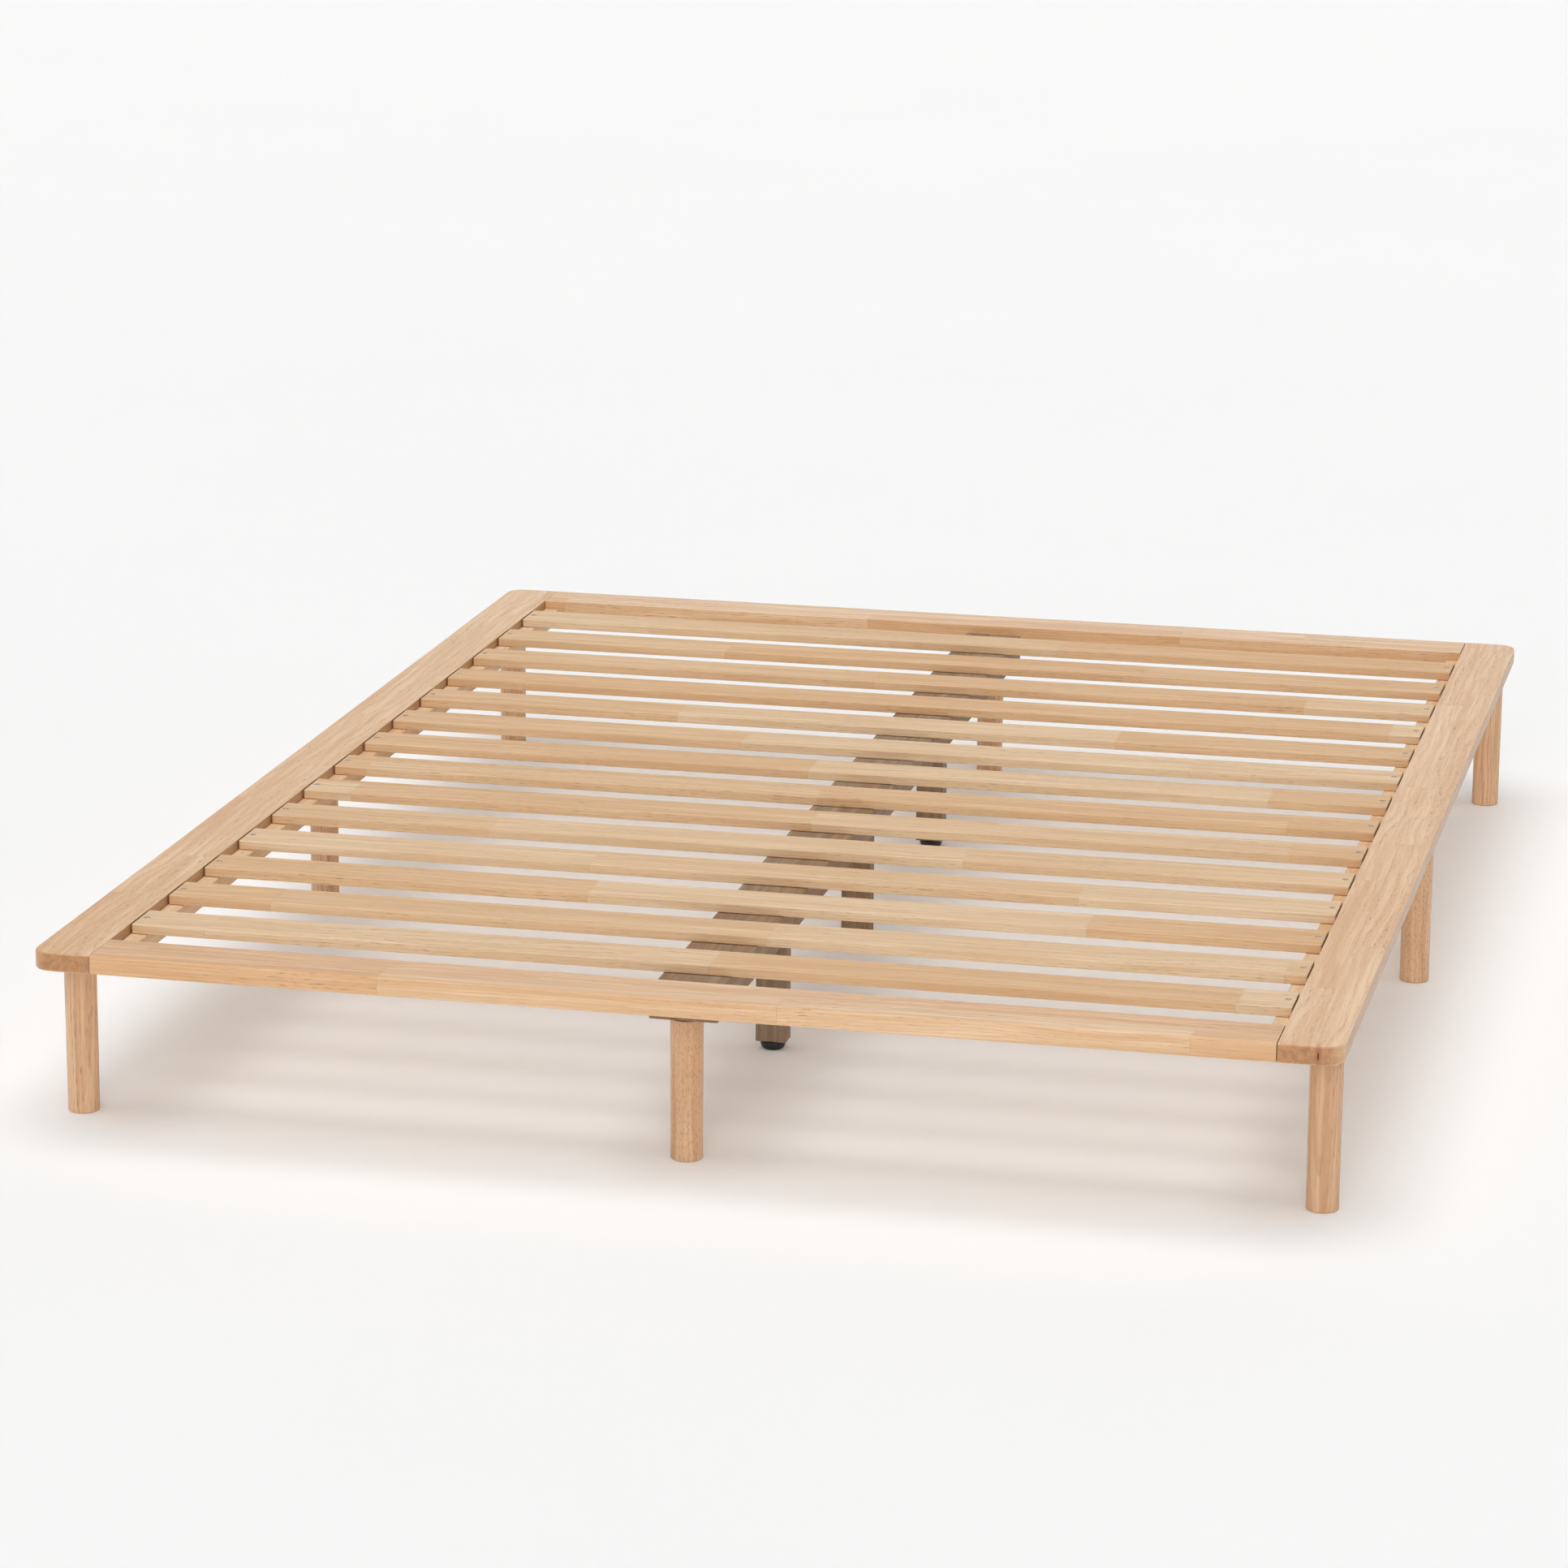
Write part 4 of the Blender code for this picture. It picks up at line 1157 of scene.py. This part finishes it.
def build_levelling_feet():
    """Domed pads, and stems with a real metric thread that meshes with the insert's."""
    for index in range(1, SUPPORT_COUNT + 1):
        pad = f"levelling_pad_{index}"
        stem = f"levelling_stem_{index}"
        low, high = cad(pad)
        stem_low, stem_high = cad(stem)
        y = middle(pad)[1]
        profile = pad_profile((high[0] - low[0]) / 2, high[2], stem_low[2] - HOLE_GAP)
        mesh = new_mesh(pad + "_plastic", standing(capped(turned(profile, PAD_SIDES)), 0, y))
        add_piece(pad + "_plastic", mesh, BLACK_PLASTIC, pad, pad)
        sections = ((stem_high[2], stem_low[2], METRIC_RADIUS, METRIC_DEPTH, METRIC_PITCH),)
        add_steel(stem, standing(threaded_rod(sections), 0, y), stem)


def build_joining_plates():
    for end, end_name in ENDS:
        for side, side_name in SIDES:
            name = f"joining_plate_{end_name}_{side_name}"
            screws = [place for s, e, _, place in plate_screws_at() if s == side and e == end]
            shape = board(*cad(name), STEEL_EDGE, PLATE_CORNER)
            add_steel(name, shape, holes=copies(PAN_HOLE, screws))


def bracket_path(flange, drop):
    """The middle line of the angle, its normals and the way travelled along it.

    The line runs along the flange, round the bend as a quarter circle, and down the web.
    """
    half = STEEL_THICKNESS / 2
    radius = BEND_RADIUS - half
    inward = (0, 0.4 * MM, *np.linspace(1.2 * MM, BRACKET_CORNER, 6))
    lead = [(flange - step, -half) for step in inward]
    bend = arc((BEND_RADIUS, -BEND_RADIUS), (radius, radius), 90, 180, BEND_STEPS)
    tail = [(half, step - drop) for step in reversed(inward)]
    points = np.array(lead + bend + tail)
    round_bend = arc((0, 0), (1, 1), 90, 180, BEND_STEPS)
    normals = np.array([(0, 1)] * len(lead) + round_bend + [(-1, 0)] * len(tail))
    travelled = np.concatenate([[0], np.cumsum(np.linalg.norm(np.diff(points, axis=0), axis=1))])
    return points, normals, travelled


def bent_strip(points, normals, travelled, half_width, corner):
    """A strip carried along the path, with rounded edges.

    Near both ends its half width follows a quarter circle: w - c + sqrt(c^2 - (c - s)^2), s being
    the way from the end.
    """
    from_end = np.minimum(travelled, travelled[-1] - travelled)
    over = np.clip(corner - from_end, 0, corner)
    width = half_width - corner + np.sqrt(corner**2 - over**2)
    across = rounded_rectangle((-1, -1), (1, 1), (0.3,) * 4, (3,) * 4)
    edge = STEEL_EDGE
    unit = np.sign(across) * np.clip((np.abs(across) - 0.7) / 0.3, 0, 1)
    side, face = np.where(across > 0, 1, -1).T
    x = side * (width[:, None] - edge) + unit[:, 0] * edge
    t = face * (STEEL_THICKNESS / 2 - edge) + unit[:, 1] * edge
    y = points[:, :1] + normals[:, :1] * t
    z = points[:, 1:] + normals[:, 1:] * t
    return np.stack([x, y, z], -1)


def build_beam_brackets():
    """Steel angles bent from flat strip, one flange under the end rail and one down the beam."""
    bend = cad("head_rail")[0][1]
    for end, end_name in ENDS:
        name = "beam_bracket_" + end_name
        low, high = cad(name)
        path = bracket_path(high[1] - low[1], high[2] - low[2])
        rings = bent_strip(*path, (high[0] - low[0]) / 2, BRACKET_CORNER)
        rings[:, :, 1] = end * (bend + rings[:, :, 1])
        rings[:, :, 2] += high[2]
        if end > 0:
            rings = rings[:, ::-1]
        screws = [place for e, _, place in bracket_screws_at() if e == end]
        add_steel(name, capped(rings), holes=copies(PAN_HOLE, screws))


build_side_rails()
build_end_rails()
build_legs()
build_slats()
build_cleats()
build_beam()
build_support_legs()
build_dowels()
build_wood_screws()
build_hanger_bolts()
build_inserts()
build_levelling_feet()
build_joining_plates()
build_beam_brackets()


# ---------------------------------------------------------------------------------------------
# Studio
# ---------------------------------------------------------------------------------------------

FLOOR_RADIUS = 26.0
SWEEP_RADIUS = 3.0
WALL_HEIGHT = 7.0
FLOOR_SIDES = 96
FLOOR_RINGS = (8.0, 4.0)
FLOOR_GLOW = 0.10
WALL_GLOW = 0.32
AIR_STRENGTH = 0.08
WHITE = (1.0, 1.0, 1.0)

# Each distant light: the way it shines, its strength, its disc's width in degrees and its colour.
SUNS = {
    "key_light": ((-0.18, 1.0, -0.50), 0.95, 30, (1.0, 0.99, 0.97)),
    "top_light": ((0.05, 0.05, -1.0), 2.10, 60, WHITE),
    "back_light": ((0.0, -1.0, -0.35), 0.25, 40, WHITE),
}

# Where the camera stands in metres, its angles in radians, and its lens and film width in mm.
CAMERA_PLACE = Vector((1.405, -6.5545, 1.9499))
CAMERA_DOWN = 0.2532
CAMERA_ROLL = -0.0065
CAMERA_TURN = 0.226
CAMERA_LENS = 119.47
CAMERA_FILM = 36.0
CAMERA_REACH = 200.0


def build_floor():
    """A plain pale floor, faintly cloudy, that curves up into a low pale wall a long way off.

    The surface is a profile carried round the Z axis: flat, then a quarter circle, then upright.
    """
    finish = Finish("studio_floor", Roughness=0.85, Emission_Color=rgb(*WHITE))
    here = finish.object_coordinates()
    clouds = finish.noise(here, 0.9, 3)
    finish.set("Base Color", finish.mix(clouds, rgb(0.90, 0.90, 0.90), rgb(0.87, 0.87, 0.87)))
    height = finish.step("ShaderNodeSeparateXYZ", 2, i0=here)
    finish.set("Emission Strength", finish.between(height, 0.0, SWEEP_RADIUS, FLOOR_GLOW, WALL_GLOW))
    sweep = arc((FLOOR_RADIUS, SWEEP_RADIUS), (SWEEP_RADIUS, SWEEP_RADIUS), 0, -90, 12)
    flat = [(radius, 0.0) for radius in FLOOR_RINGS]
    profile = [(FLOOR_RADIUS + SWEEP_RADIUS, WALL_HEIGHT), *sweep, *flat]
    points, faces = capped(turned(profile, FLOOR_SIDES))
    rim = list(range(FLOOR_SIDES))
    upward = [face[::-1] for face in faces if face != rim]
    mesh = new_mesh("studio_floor", (points, upward))
    mesh.shade_smooth()
    mesh.materials.append(finish.material)
    new_object("studio_floor", mesh)


def add_sun(name, towards, strength, spread, colour):
    """A soft distant light that shines along a direction."""
    light = bpy.data.lights.new(name, "SUN")
    light.energy = strength
    light.angle = math.radians(spread)
    light.color = colour
    lamp = new_object(name, light)
    lamp.rotation_euler = Vector(towards).to_track_quat("-Z", "Y").to_euler()


def build_lights():
    for name, settings in SUNS.items():
        add_sun(name, *settings)
    world = bpy.data.worlds.new("studio_air")
    world.use_nodes = True
    background = world.node_tree.nodes["Background"]
    background.inputs["Color"].default_value = rgb(*WHITE)
    background.inputs["Strength"].default_value = AIR_STRENGTH
    bpy.context.scene.world = world


def build_camera():
    """A long lens, turned a little to the left, tipped down, and rolled by a hair."""
    level = Vector((math.cos(CAMERA_TURN), math.sin(CAMERA_TURN), 0.0))
    ahead = Vector((-math.sin(CAMERA_TURN), math.cos(CAMERA_TURN), 0.0))
    forward = ahead * math.cos(CAMERA_DOWN)
    forward.z = -math.sin(CAMERA_DOWN)
    down = forward.cross(level)
    right = level * math.cos(CAMERA_ROLL) + down * math.sin(CAMERA_ROLL)
    below = down * math.cos(CAMERA_ROLL) - level * math.sin(CAMERA_ROLL)
    camera = bpy.data.cameras.new("studio_camera")
    camera.lens = CAMERA_LENS
    camera.sensor_width = CAMERA_FILM
    camera.clip_end = CAMERA_REACH
    holder = new_object("studio_camera", camera)
    turn = Matrix((right, -below, -forward)).transposed().to_4x4()
    holder.matrix_world = Matrix.Translation(CAMERA_PLACE) @ turn
    bpy.context.scene.camera = holder


build_floor()
build_lights()
build_camera()
bpy.context.scene.view_settings.view_transform = "Standard"
